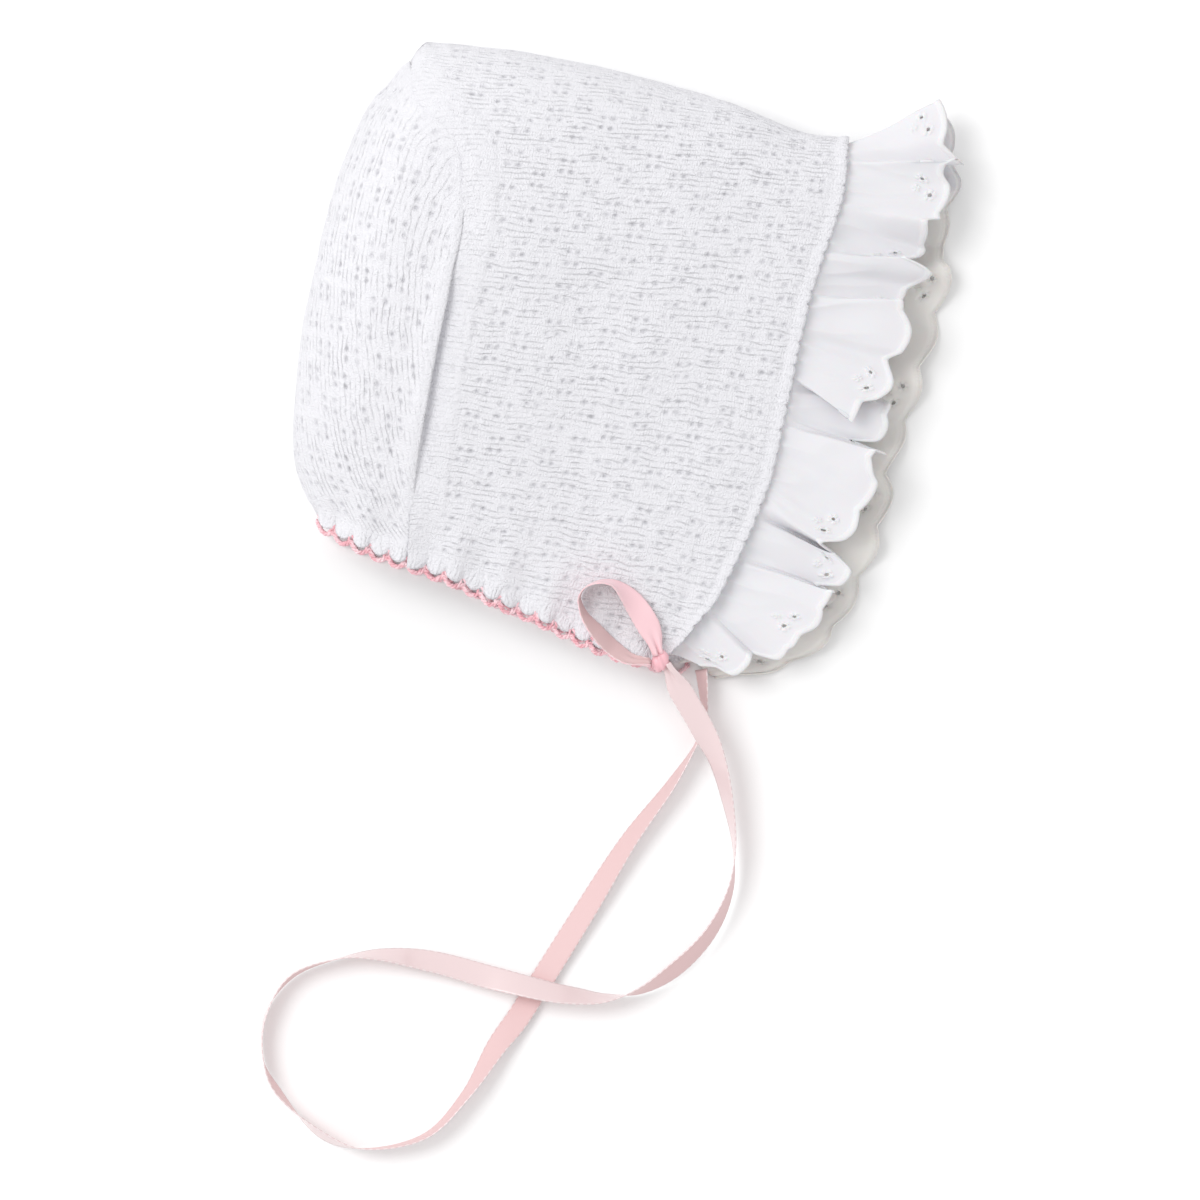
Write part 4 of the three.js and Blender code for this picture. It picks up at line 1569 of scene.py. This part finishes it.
@dataclass(frozen=True)
class NeckEdging:
    """The crocheted picot along the neck: twisted strands under the puffs, and peaks up between them."""

    form: Form
    radius: float = 0.00040
    twist: float = 0.0026
    wind: float = 0.9
    near: float = 0.0012
    dip: float = 0.0019
    peak: float = 0.0021
    peak_width: float = 0.16
    depth: float = 0.0003
    steps: int = 22
    sides: int = 6

    def line(self, layer: Layer, peak: float) -> list[Vector]:
        """Finds the middle line of a strand.

        Args:
            layer: The cloth whose edge it follows.
            peak: How far it reaches up between the puffs.

        Returns:
            Its points from the back fold to the corner.
        """
        end = NECK_END.x - self.form.corner_gap
        count = round((end - NECK_START.x) / self.form.puff_pitch)
        points = []
        for k in range(count * self.steps + 1):
            run = k / self.steps
            x = lerp(NECK_START.x, end, run / count)
            y = NECK_LINE(x)
            point = self.form.skin(x, y, layer, self.depth)
            if layer is Layer.LOWER:
                point.x += self.form.neck_shift(x)
                point.z += self.radius * 2.0
            reach = peak * bump_at(run - round(run), 0.0, self.peak_width)
            point.y = y - self.near - self.dip * self.form.puff(x) + reach
            points.append(point + OWN_ORIGIN)
        return points

    def build(self, materials: Sequence[bpy.types.Material]) -> bpy.types.Object:
        """Builds the edging.

        Args:
            materials: Its thread.

        Returns:
            The finished piece.
        """
        mesh = bmesh.new()
        for turn, peak in ((0.0, 0.0), (math.pi, 0.0), (math.pi / 2.0, self.peak)):
            path = self.line(Layer.UPPER, peak)[::-1] + self.line(Layer.LOWER, peak)[1:]
            distances = arc_lengths(path)
            strand = []
            for k, point in enumerate(path):
                along = (path[min(len(path) - 1, k + 1)] - path[max(0, k - 1)]).normalized()
                beside = along.cross(UP).normalized()
                angle = turn + 2.0 * math.pi * distances[k] / self.twist
                out = beside * math.cos(angle) + beside.cross(along) * math.sin(angle)
                strand.append(point + out * self.radius * self.wind)
            add_tube(mesh, strand, self.radius, self.sides)
        return finish_piece("neck_edging_picot", mesh, Slot.PICOT, materials, ["neck_edging"])


@dataclass(frozen=True)
class Ribbon:
    """The satin ribbon's make."""

    width: float = 0.0072
    solid: float = 0.0010
    wall: float = 0.00035
    across: int = 12
    step: float = 0.0009
    lead: float = 0.0018
    pinch: float = 0.50
    pinch_reach: float = 0.010
    pleat: float = 0.0007

    def track(self, rows: Sequence[Lay], ground: Callable[[Lay], float]) -> Track:
        """Returns the ribbon's middle line.

        Args:
            rows: The points of its route.
            ground: Gives the height of its lower edge at each.

        Returns:
            The line, in the bonnet's own lines.
        """
        points = []
        for row in rows:
            reach = abs(math.sin(math.radians(row.lean))) * self.width / 2.0
            points.append(Vector((row.x, row.y, ground(row) + reach + self.solid / 2.0)))
        return Track(points)

    def build(
        self,
        name: str,
        rows: Sequence[Lay],
        ground: Callable[[Lay], float],
        node: str,
        materials: Sequence[bpy.types.Material],
        tied: tuple[float, float],
    ) -> bpy.types.Object:
        """Args:
            name: The piece's name.
            rows: The points of its route.
            ground: Gives the height of its lower edge at each.
            node: The solid that it stands for.
            materials: Its satin face and its reverse.
            tied: How far it runs on under the knot at its start and at its end, as a share of the lead.

        Returns:
            The finished piece.
        """
        track = self.track(rows, ground)
        lean_at = Profile((k / (len(rows) - 1), row.lean) for k, row in enumerate(rows))
        start, end = (share * self.lead for share in tied)
        length = track.length + start + end
        steps = round(length / self.step)
        centres = []
        widths = []
        pinches = []
        for k in range(steps + 1):
            run = length * k / steps - start
            share = clamp01(run / track.length)
            centre, passed = track.walk(share)
            along = track.direction(share)
            level = UP.cross(along).normalized()
            turn = Matrix.Rotation(math.radians(lean_at(passed)), 3, along)
            centres.append(centre + along * (run - share * track.length) + OWN_ORIGIN)
            widths.append(turn @ level)
            to_knot = [part for part, lead in ((run + start, start), (length - start - run, end)) if lead]
            pinches.append(1.0 - smooth(min(to_knot, default=1.0) / self.pinch_reach))

        def place(i: int, j: int) -> Vector:
            """Returns a vertex's point, i steps along the ribbon and j faces across it."""
            side = 2.0 * j / self.across - 1.0
            reach = side * self.width / 2.0 * (1.0 - self.pinch * pinches[i])
            face = widths[i].cross(centres[min(steps, i + 1)] - centres[max(0, i - 1)]).normalized()
            pleat = self.pleat * pinches[i] * math.cos(2.0 * math.pi * side)
            return centres[i] + widths[i] * reach + face * pleat

        mesh = bmesh.new()
        add_grid(mesh, steps, self.across, place, lambda i, j: (length * i / steps, j / self.across))
        ribbon = finish_piece(name, mesh, Slot.SATIN, materials, [node], self.wall, 0.0)
        LOG.info("%s is %.0f mm long", name, length * 1000.0)
        return ribbon


@dataclass(frozen=True)
class RibbonKnot:
    """The pleated knot of the ribbon on the upper neck corner."""

    form: Form
    x: float = 0.0524
    y: float = -0.0794
    radii: Vector = Vector((0.0026, 0.0036, 0.0021))
    clear: float = 0.0007
    pleats: int = 3
    pleat_lean: float = 2.0
    pleat_depth: float = 0.16
    segments: int = 40
    rings: int = 24
    turn: float = 0.6

    def build(self, materials: Sequence[bpy.types.Material]) -> bpy.types.Object:
        """Builds the knot.

        Args:
            materials: Its satin.

        Returns:
            The finished piece.
        """
        mesh = bmesh.new()
        bmesh.ops.create_uvsphere(
            mesh, u_segments=self.segments, v_segments=self.rings, radius=1.0, calc_uvs=True
        )
        height = knit_height(self.form, self.x, self.y) + self.clear + self.radii.z
        centre = Vector((self.x, self.y, height)) + OWN_ORIGIN
        turn_back = Matrix.Rotation(self.turn, 3, "Z").inverted()
        for vertex in mesh.verts:
            across = turn_back @ vertex.co
            pleat = math.cos(math.pi * self.pleats * across.x + self.pleat_lean * across.y)
            round_end = math.sqrt(max(0.0, 1.0 - across.x**2))
            swell = 1.0 - self.pleat_depth * (0.5 - 0.5 * pleat) * round_end
            vertex.co = centre + Vector(a * b for a, b in zip(vertex.co * swell, self.radii))
        for face in mesh.faces:
            face.smooth = True
        return finish_piece("ribbon_knot_satin", mesh, Slot.SATIN, materials[:1], ["ribbon_knot"])


def knit_height(form: Form, x: float, y: float) -> float:
    """Returns the height of the upper cloth's outer face, or of the neck edge beside it."""
    return form.skin(x, max(y, NECK_LINE(x)), Layer.UPPER, 0.0).z


class Wiring:
    """Adds and joins the nodes of one node tree."""

    def __init__(self, tree: bpy.types.NodeTree) -> None:
        """Keeps the tree that the nodes go into."""
        self.tree = tree

    def add(self, kind: str, **settings: object) -> bpy.types.Node:
        """Adds a node.

        Args:
            kind: The node's type.
            settings: Its properties.

        Returns:
            The node.
        """
        node = self.tree.nodes.new(kind)
        for key, value in settings.items():
            setattr(node, key, value)
        return node

    def feed(self, socket: bpy.types.NodeSocket, source: object) -> None:
        """Joins an output to a socket, or sets the socket to a plain value."""
        if isinstance(source, bpy.types.NodeSocket):
            self.tree.links.new(source, socket)
        else:
            socket.default_value = source

    def math(self, operation: str, *sources: object) -> bpy.types.NodeSocket:
        """Adds a Math node.

        Args:
            operation: What it works out.
            sources: Its inputs, outputs of other nodes or numbers.

        Returns:
            Its output.
        """
        node = self.add("ShaderNodeMath", operation=operation)
        for socket, source in zip(node.inputs, sources):
            self.feed(socket, source)
        return node.outputs[0]

    def ramp(
        self, source: object, low: float, high: float, start: float = 0.0, end: float = 1.0
    ) -> bpy.types.NodeSocket:
        """Returns the source mapped smoothly from low..high to start..end."""
        node = self.add("ShaderNodeMapRange", interpolation_type="SMOOTHSTEP", clamp=True)
        values = {"Value": source, "From Min": low, "From Max": high, "To Min": start, "To Max": end}
        for key, value in values.items():
            self.feed(node.inputs[key], value)
        return node.outputs[0]

    def noise(self, vector: bpy.types.NodeSocket, scale: float, detail: float = 2.0) -> bpy.types.NodeSocket:
        """Returns a soft noise from 0 to 1."""
        node = self.add("ShaderNodeTexNoise")
        self.feed(node.inputs["Vector"], vector)
        node.inputs["Scale"].default_value = scale
        node.inputs["Detail"].default_value = detail
        return node.outputs[0]

    def mix(self, share: object, first: object, last: object) -> bpy.types.NodeSocket:
        """Returns the colour that lies the given share of the way from first to last."""
        node = self.add("ShaderNodeMix", data_type="RGBA")
        colours = [socket for socket in node.inputs if socket.type == "RGBA"]
        self.feed(node.inputs[0], share)
        self.feed(colours[0], first)
        self.feed(colours[1], last)
        return next(socket for socket in node.outputs if socket.type == "RGBA")

    def total(self, *sources: object) -> bpy.types.NodeSocket:
        """Returns the sum of the sources."""
        result = sources[0]
        for source in sources[1:]:
            result = self.math("ADD", result, source)
        return result

    def product(self, *sources: object) -> bpy.types.NodeSocket:
        """Returns the product of the sources."""
        result = sources[0]
        for source in sources[1:]:
            result = self.math("MULTIPLY", result, source)
        return result

    def ripple(self, phase: object) -> bpy.types.NodeSocket:
        """Returns rounded ridges from 0 to 1, one for each half turn of the phase."""
        return self.math("ABSOLUTE", self.math("SINE", phase))
    def split(self, vector: bpy.types.NodeSocket) -> tuple[bpy.types.NodeSocket, bpy.types.NodeSocket]:
        """Returns a vector's x and y."""
        node = self.add("ShaderNodeSeparateXYZ")
        self.feed(node.inputs[0], vector)
        return node.outputs[0], node.outputs[1]


def group_tree(
    name: str, inputs: Sequence[tuple[str, str]], outputs: Sequence[str]
) -> tuple[bpy.types.NodeTree, Wiring]:
    """Starts a shader node group.

    Args:
        name: The group's name.
        inputs: The names and kinds of its inputs.
        outputs: The names of its outputs, each a number.

    Returns:
        The group's tree and its wiring.
    """
    tree = bpy.data.node_groups.new(name, "ShaderNodeTree")
    for label, kind in inputs:
        tree.interface.new_socket(label, in_out="INPUT", socket_type=kind)
    for label in outputs:
        tree.interface.new_socket(label, in_out="OUTPUT", socket_type="NodeSocketFloat")
    return tree, Wiring(tree)


@dataclass(frozen=True)
class KnitStitches:
    """The knit's fine pattern: ribs, stitches, fibres and openwork holes.

    A `size` counts a noise's swells in a metre, and a `height` is a share of the bump's depth.
    """

    openwork: Openwork
    hole_sharpness: float = 1.5
    hole_size: float = 210.0
    hole_least: float = 0.35
    push: float = 0.30
    push_spread: float = 0.35
    waver: float = 0.62
    waver_size: float = 130.0
    groove_size: float = 250.0
    groove_least: float = 0.25
    groove_sharpness: float = 2.4
    groove_height: float = 0.50
    gather_pitch: float = 0.0017
    gather_size: float = 190.0
    gather_waver: float = 9.0
    gather_flat: float = 0.9
    gather_height: float = 0.40
    stitches: float = 10.0
    stitch_height: float = 0.07
    fibre_size: float = 1500.0
    fibre_height: float = 0.90
    fluff_size: float = 3600.0
    fluff_height: float = 0.26
    hollow_height: float = 0.60

    def build(self) -> bpy.types.NodeTree:
        """Builds the group.

        Returns:
            The group, which puts out the height, and the groove and the hollow masks that the knit's painted
            shade follows.
        """
        inputs = [
            ("Cells and rows", "NodeSocketVector"),
            ("Place", "NodeSocketVector"),
            ("Openwork", "NodeSocketFloat"),
            ("Gathered", "NodeSocketFloat"),
        ]
        tree, wire = group_tree("knit stitches", inputs, ["Height", "Groove", "Hollow"])
        knit, place, openwork, gathered = wire.add("NodeGroupInput").outputs[:4]
        cells, rows = wire.split(knit)
        row = wire.math("FLOOR", rows)
        cell = wire.math("FLOOR", cells)
        run = wire.math("SUBTRACT", cells, cell)
        lean = wire.math("MULTIPLY", wire.math("SUBTRACT", run, 0.5), self.openwork.slant)
        beside = wire.math("SUBTRACT", wire.math("SUBTRACT", wire.math("SUBTRACT", rows, row), 0.5), lean)
        across = wire.math("DIVIDE", beside, self.openwork.across)
        turn = wire.math("FLOORED_MODULO", wire.math("ADD", cell, row), float(self.openwork.repeat))
        open_cell = wire.math("LESS_THAN", turn, self.openwork.repeat - 1.5)
        spots = []
        for at in (self.openwork.first, self.openwork.second):
            gap = wire.math("DIVIDE", wire.math("SUBTRACT", run, at), self.openwork.along)
            spots.append(wire.math("MULTIPLY", gap, gap))
        nearest = wire.math("ADD", wire.math("MINIMUM", *spots), wire.math("MULTIPLY", across, across))
        sharpness = -self.openwork.sharpness * self.hole_sharpness
        hole = wire.math("EXPONENT", wire.math("MULTIPLY", nearest, sharpness))
        uneven = wire.ramp(wire.noise(place, self.hole_size, 1.0), 0.30, 0.66, self.hole_least, 1.0)
        hollow = wire.product(hole, wire.math("MULTIPLY", open_cell, openwork), uneven)

        spread = wire.math("EXPONENT", wire.math("MULTIPLY", nearest, -self.push_spread))
        push = wire.product(beside, wire.math("MULTIPLY", spread, open_cell), -self.push)
        waver = wire.math("SUBTRACT", wire.noise(place, self.waver_size), 0.5)
        climb = wire.math("MULTIPLY", cells, -self.openwork.slant)
        wavy = wire.total(rows, climb, wire.math("MULTIPLY", waver, self.waver), push)
        rib = wire.ripple(wire.math("MULTIPLY", wavy, 2.0 * math.pi))
        furrow = wire.math("POWER", wire.math("SUBTRACT", 1.0, rib), self.groove_sharpness)
        deep = wire.ramp(wire.noise(place, self.groove_size, 1.0), 0.34, 0.66, self.groove_least, 1.0)
        flat = wire.math("MULTIPLY_ADD", gathered, -self.gather_flat, 1.0)
        shallow = wire.math("MULTIPLY_ADD", openwork, 0.5, 0.5)
        groove = wire.product(furrow, wire.math("MULTIPLY", flat, deep), shallow)

        x, _ = wire.split(place)
        folds = wire.math("MULTIPLY", x, math.pi / self.gather_pitch)
        fold_noise = wire.noise(place, self.gather_size, 1.0)
        gathers = wire.ripple(wire.math("MULTIPLY_ADD", fold_noise, self.gather_waver, folds))
        stitch = wire.ripple(wire.math("MULTIPLY", cells, self.stitches * math.pi))
        height = wire.total(
            wire.math("MULTIPLY", groove, -self.groove_height),
            wire.math("MULTIPLY", stitch, self.stitch_height),
            wire.math("MULTIPLY", wire.noise(place, self.fibre_size, 3.0), self.fibre_height),
            wire.math("MULTIPLY", wire.noise(place, self.fluff_size, 1.0), self.fluff_height),
            wire.math("MULTIPLY", hollow, -self.hollow_height),
            wire.product(gathers, gathered, self.gather_height),
        )
        out = wire.add("NodeGroupOutput")
        wire.feed(out.inputs["Height"], height)
        wire.feed(out.inputs["Groove"], groove)
        wire.feed(out.inputs["Hollow"], hollow)
        return tree


def weave_group() -> bpy.types.NodeTree:
    """Builds a plain weave with soft creases, from Object coordinates."""
    tree, wire = group_tree(
        "plain weave",
        [("Place", "NodeSocketVector"), ("Threads", "NodeSocketFloat"), ("Creases", "NodeSocketFloat")],
        ["Height", "Crease"],
    )
    source = wire.add("NodeGroupInput")
    x, y = wire.split(source.outputs[0])
    warp = wire.math("SINE", wire.math("MULTIPLY", x, source.outputs[1]))
    weft = wire.math("SINE", wire.math("MULTIPLY", y, source.outputs[1]))
    weave = wire.math("MULTIPLY", warp, weft)
    crease = wire.noise(source.outputs[0], 1.0, 4.0)
    wire.feed(crease.node.inputs["Scale"], source.outputs[2])
    out = wire.add("NodeGroupOutput")
    wire.feed(out.inputs["Height"], wire.math("MULTIPLY_ADD", weave, 0.5, 0.5))
    wire.feed(out.inputs["Crease"], crease)
    return tree


@dataclass(frozen=True)
class Surface:
    """What every finish sets on its Principled BSDF."""

    roughness: float
    sheen: float = 0.0
    specular: float = 0.5
    subsurface: float = 0.0
    anisotropy: float = 0.0
    sheen_roughness: float = 0.5
    subsurface_depth: float = 0.001


def start_material(name: str, surface: Surface) -> tuple[bpy.types.Material, Wiring, bpy.types.Node]:
    """Starts a material with its plain values.

    Args:
        name: The material's name.
        surface: Its plain values.

    Returns:
        The material, its wiring and its Principled BSDF.
    """
    material = bpy.data.materials.new(name)
    material.use_nodes = True
    wire = Wiring(material.node_tree)
    shader = material.node_tree.nodes["Principled BSDF"]
    shader.inputs["Roughness"].default_value = surface.roughness
    shader.inputs["Sheen Weight"].default_value = surface.sheen
    shader.inputs["Sheen Roughness"].default_value = surface.sheen_roughness
    shader.inputs["Specular IOR Level"].default_value = surface.specular
    shader.inputs["Anisotropic"].default_value = surface.anisotropy
    if surface.subsurface:
        shader.inputs["Subsurface Weight"].default_value = surface.subsurface
        shader.inputs["Subsurface Scale"].default_value = surface.subsurface_depth
    return material, wire, shader


def add_bump(
    wire: Wiring, shader: bpy.types.Node, height: bpy.types.NodeSocket, depth: float, strength: float
) -> None:
    """Feeds a height to a shader's normal through a Bump node.

    Args:
        wire: The material's wiring.
        shader: Its Principled BSDF.
        height: The height, as a share of the depth.
        depth: The bump's depth.
        strength: How strongly it shows.
    """
    bump = wire.add("ShaderNodeBump")
    bump.inputs["Strength"].default_value = strength
    bump.inputs["Distance"].default_value = depth
    wire.feed(bump.inputs["Height"], height)
    wire.feed(shader.inputs["Normal"], bump.outputs[0])


@dataclass(frozen=True)
class KnitFinish:
    """Soft white cotton yarn, with painted shade that darkens its grooves and openwork holes."""

    colour: Colour = (0.835, 0.830, 0.866, 1.0)
    # Painted shade: the darker colour that the grooves and the openwork holes are tinted towards.
    painted_shade_colour: Colour = (0.50, 0.495, 0.535, 1.0)
    painted_groove_shade: float = 0.14
    painted_hollow_shade: float = 0.70
    depth: float = 0.0009
    strength: float = 0.85

    def make(self, stitches: bpy.types.NodeTree) -> bpy.types.Material:
        """Makes the material.

        Args:
            stitches: The knit's pattern group.

        Returns:
            The material.
        """
        material, wire, shader = start_material("white knit", Surface(0.95, sheen=0.15, specular=0.2))
        pattern = wire.add("ShaderNodeGroup", node_tree=stitches)
        wire.feed(pattern.inputs[0], wire.add("ShaderNodeUVMap").outputs[0])
        wire.feed(pattern.inputs[1], wire.add("ShaderNodeTexCoord").outputs["Object"])
        for socket, name in ((2, "openwork"), (3, "gathered")):
            shown = wire.add("ShaderNodeAttribute", attribute_name=name)
            wire.feed(pattern.inputs[socket], shown.outputs["Fac"])
        # Painted shade: the grooves and the holes darken the base colour, standing in for the shade that
        # falls in them.
        groove = wire.math("MULTIPLY", pattern.outputs["Groove"], self.painted_groove_shade)
        hollow = wire.math("MULTIPLY", pattern.outputs["Hollow"], self.painted_hollow_shade)
        shade = wire.math("MAXIMUM", groove, hollow)
        wire.feed(shader.inputs["Base Color"], wire.mix(shade, self.colour, self.painted_shade_colour))
        add_bump(wire, shader, pattern.outputs["Height"], self.depth, self.strength)
        return material


@dataclass(frozen=True)
class CottonFinish:
    """Fine white cotton with a satin-stitched border and petals. The lower layer is the same cotton, painted
    a lighter, warmer grey that stands in for the light and the warm shade it has under the upper layer.
    """

    colour: Colour = (0.757, 0.750, 0.777, 1.0)
    # Painted light and shade: the lower layer's colour, lighter and warmer than the upper's, for how it looks
    # under the upper layer.
    lower_painted_light_colour: Colour = (0.83, 0.805, 0.775, 1.0)
    stitch_colour: Colour = (0.84, 0.835, 0.85, 1.0)
    lower_from: float = 0.400
    lower_fade: float = 0.012
    threads: float = 16000.0
    thread_height: float = 0.06
    creases: float = 90.0
    crease_height: float = 0.5
    border: float = 0.0021
    border_fade: float = 0.0003
    stitch: float = 0.00045
    stitch_height: float = 0.30
    depth: float = 0.0006
    strength: float = 0.6

    def make(self, weave: bpy.types.NodeTree) -> bpy.types.Material:
        """Makes the material.

        Args:
            weave: The plain weave group.

        Returns:
            The material.
        """
        surface = Surface(0.85, sheen=0.1, specular=0.25, subsurface=0.1)
        material, wire, shader = start_material("white cotton", surface)
        along, inward = wire.split(wire.add("ShaderNodeUVMap").outputs[0])
        cloth = wire.add("ShaderNodeGroup", node_tree=weave)
        wire.feed(cloth.inputs[0], wire.add("ShaderNodeTexCoord").outputs["Object"])
        cloth.inputs[1].default_value = self.threads
        cloth.inputs[2].default_value = self.creases
        border = wire.ramp(inward, self.border - self.border_fade, self.border + self.border_fade, 1.0, 0.0)
        petals = wire.add("ShaderNodeAttribute", attribute_name="stitched").outputs["Fac"]
        stitched = wire.math("MAXIMUM", border, wire.ramp(petals, 0.25, 0.7))
        stitch = wire.ripple(wire.math("MULTIPLY", along, math.pi / self.stitch))
        # Painted light and shade: the lower layer, found by how far along the hem it lies, takes the lighter,
        # warmer painted colour, its stitches too.
        lower = wire.ramp(along, self.lower_from, self.lower_from + self.lower_fade)
        plain = wire.mix(lower, self.colour, self.lower_painted_light_colour)
        light = wire.mix(lower, self.stitch_colour, self.lower_painted_light_colour)
        wire.feed(shader.inputs["Base Color"], wire.mix(stitched, plain, light))
        height = wire.total(
            wire.math("MULTIPLY", cloth.outputs["Height"], self.thread_height),
            wire.math("MULTIPLY", cloth.outputs["Crease"], self.crease_height),
            wire.product(stitch, stitched, self.stitch_height),
        )
        add_bump(wire, shader, height, self.depth, self.strength)
        return material


@dataclass(frozen=True)
class ThreadFinish:
    """Two-tone pink crochet thread."""

    light: Colour = (0.92, 0.66, 0.70, 1.0)
    dark: Colour = (0.82, 0.42, 0.47, 1.0)
    tone_size: float = 450.0
    ply: float = 0.0009
    depth: float = 0.0001
    strength: float = 0.6

    def make(self) -> bpy.types.Material:
        """Makes the material."""
        material, wire, shader = start_material("pink thread", Surface(0.75, sheen=0.2, specular=0.3))
        along, around = wire.split(wire.add("ShaderNodeUVMap").outputs[0])
        place = wire.add("ShaderNodeTexCoord").outputs["Object"]
        tone = wire.ramp(wire.noise(place, self.tone_size, 1.0), 0.35, 0.65)
        wire.feed(shader.inputs["Base Color"], wire.mix(tone, self.light, self.dark))
        plies = wire.math("MULTIPLY", along, 2.0 * math.pi / self.ply)
        phase = wire.math("ADD", plies, wire.math("MULTIPLY", around, 2.0 * math.pi))
        add_bump(wire, shader, wire.math("SINE", phase), self.depth, self.strength)
        return material


@dataclass(frozen=True)
class SatinFinish:
    """Satin ribbon, with its selvedge ticks."""

    name: str
    colour: Colour
    edge_colour: Colour
    roughness: float
    specular: float
    selvedge: float = 0.455
    selvedge_fade: float = 0.020
    tick: float = 0.0022
    thread: float = 0.00035
    thread_height: float = 0.04
    swell_size: float = 160.0
    swell_height: float = 0.5
    depth: float = 0.0003
    strength: float = 0.4

    def make(self) -> bpy.types.Material:
        """Makes the material."""
        surface = Surface(self.roughness, sheen=0.1, specular=self.specular, anisotropy=0.35)
        material, wire, shader = start_material(self.name, surface)
        along, across = wire.split(wire.add("ShaderNodeUVMap").outputs[0])
        to_edge = wire.math("ABSOLUTE", wire.math("SUBTRACT", across, 0.5))
        edge = wire.ramp(to_edge, self.selvedge, self.selvedge + self.selvedge_fade)
        ticks = wire.math("GREATER_THAN", wire.math("FRACT", wire.math("DIVIDE", along, self.tick)), 0.5)
        colour = wire.mix(wire.math("MULTIPLY", edge, ticks), self.colour, self.edge_colour)
        wire.feed(shader.inputs["Base Color"], colour)
        threads = wire.math("SINE", wire.math("MULTIPLY", along, 2.0 * math.pi / self.thread))
        swells = wire.noise(wire.add("ShaderNodeTexCoord").outputs["Object"], self.swell_size)
        height = wire.total(
            wire.math("MULTIPLY", threads, self.thread_height),
            wire.math("MULTIPLY", swells, self.swell_height),
        )
        add_bump(wire, shader, height, self.depth, self.strength)
        return material


@dataclass(frozen=True)
class Studio:
    """The pale floor, the soft light and the camera."""

    middle: Vector = Vector((0.01567, -0.07754, 0.0))
    distance: float = 4.0
    lens: float = 398.0
    turn: float = 15.0
    sensor: float = 36.0
    sight: float = 20.0
    floor_size: float = 4.0
    floor_colour: Colour = (0.95, 0.95, 0.95, 1.0)
    world: float = 0.87
    key_power: float = 40.0
    key_size: float = 1.7
    key_place: Vector = Vector((-1.75, 0.45, 2.5))

    def build(self) -> None:
        """Builds the floor, the light and the camera."""
        mesh = bmesh.new()
        bmesh.ops.create_grid(mesh, x_segments=2, y_segments=2, size=self.floor_size / 2.0)
        for vertex in mesh.verts:
            vertex.co += self.middle
        data = bpy.data.meshes.new("floor")
        mesh.to_mesh(data)
        mesh.free()
        material, _, shader = start_material("white floor", Surface(0.9, specular=0.1))
        shader.inputs["Base Color"].default_value = self.floor_colour
        data.materials.append(material)
        floor = bpy.data.objects.new("floor", data)
        bpy.context.scene.collection.objects.link(floor)
        self.light()
        self.look()

    def light(self) -> None:
        """Adds the even light and the large soft key light."""
        world = bpy.data.worlds.new("studio")
        world.use_nodes = True
        background = world.node_tree.nodes["Background"]
        background.inputs["Color"].default_value = (1.0, 1.0, 1.0, 1.0)
        background.inputs["Strength"].default_value = self.world
        bpy.context.scene.world = world
        data = bpy.data.lights.new("key", "AREA")
        data.shape = "DISK"
        data.size = self.key_size
        data.energy = self.key_power
        key = bpy.data.objects.new("key", data)
        key.location = self.middle + self.key_place
        key.rotation_euler = (-self.key_place).to_track_quat("-Z", "Y").to_euler()
        bpy.context.scene.collection.objects.link(key)

    def look(self) -> None:
        """Adds the camera, straight above the bonnet."""
        data = bpy.data.cameras.new("camera")
        data.sensor_width = self.sensor
        data.lens = self.lens
        data.clip_end = self.sight
        camera = bpy.data.objects.new("camera", data)
        camera.location = self.middle + UP * self.distance
        camera.rotation_euler = (0.0, 0.0, math.radians(self.turn))
        bpy.context.scene.collection.objects.link(camera)
        bpy.context.scene.camera = camera
        bpy.context.scene.view_settings.view_transform = "Standard"


def main() -> None:
    """Builds the bonnet and its studio."""
    logging.basicConfig(level=logging.INFO, format="%(name)s: %(message)s")
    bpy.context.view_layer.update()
    Studio().build()
    form = Form()
    openwork = Openwork()
    white: Colour = (0.84, 0.73, 0.73, 1.0)
    pale: Colour = (0.84, 0.62, 0.64, 1.0)
    satin = SatinFinish("pale pink satin", (0.77, 0.61, 0.615, 1.0), white, 0.24, 1.0).make()
    reverse = SatinFinish("pink satin reverse", (0.74, 0.52, 0.52, 1.0), white, 0.55, 0.4).make()
    # Painted shade: the bow's loop and the knot are the same satin as the chin ribbon, painted a deeper, more
    # saturated pink for the shade inside the loop and in the knot's wraps.
    loop = SatinFinish("pink satin with painted loop shade", (0.92, 0.61, 0.65, 1.0), pale, 0.34, 0.6).make()
    knot_painted_shade_satin = SatinFinish("pink satin with painted knot shade", (0.86, 0.48, 0.53, 1.0), pale, 0.38, 0.5).make()

    def over_knit(row: Lay) -> float:
        """Returns the height of the bow's lower edge, over the knit that it lies on."""
        return knit_height(form, row.x, row.y) + row.under

    def over_ground(row: Lay) -> float:
        """Returns the height of the chin ribbon's lower edge."""
        return row.under

    ribbon = Ribbon()
    ribbon.build("bow_loop_satin", BOW_LOOP, over_knit, "bow_loop", [loop, reverse], (0.7, 0.7))
    ribbon.build("chin_ribbon_satin", CHIN_RIBBON, over_ground, "chin_ribbon", [satin, reverse], (1.0, 0.0))
    RibbonKnot(form).build([knot_painted_shade_satin])
    knit = KnitFinish().make(KnitStitches(openwork).build())
    edges = KnitEdges(form)
    side = SidePanel(form, openwork, edges).build([knit])
    back = BackPanel(form, openwork, edges).build([knit])
    ruffle = FaceRuffle(form).build([CottonFinish().make(weave_group())])
    NeckEdging(form).build([ThreadFinish().make()])


if __name__ == "__main__":
    main()
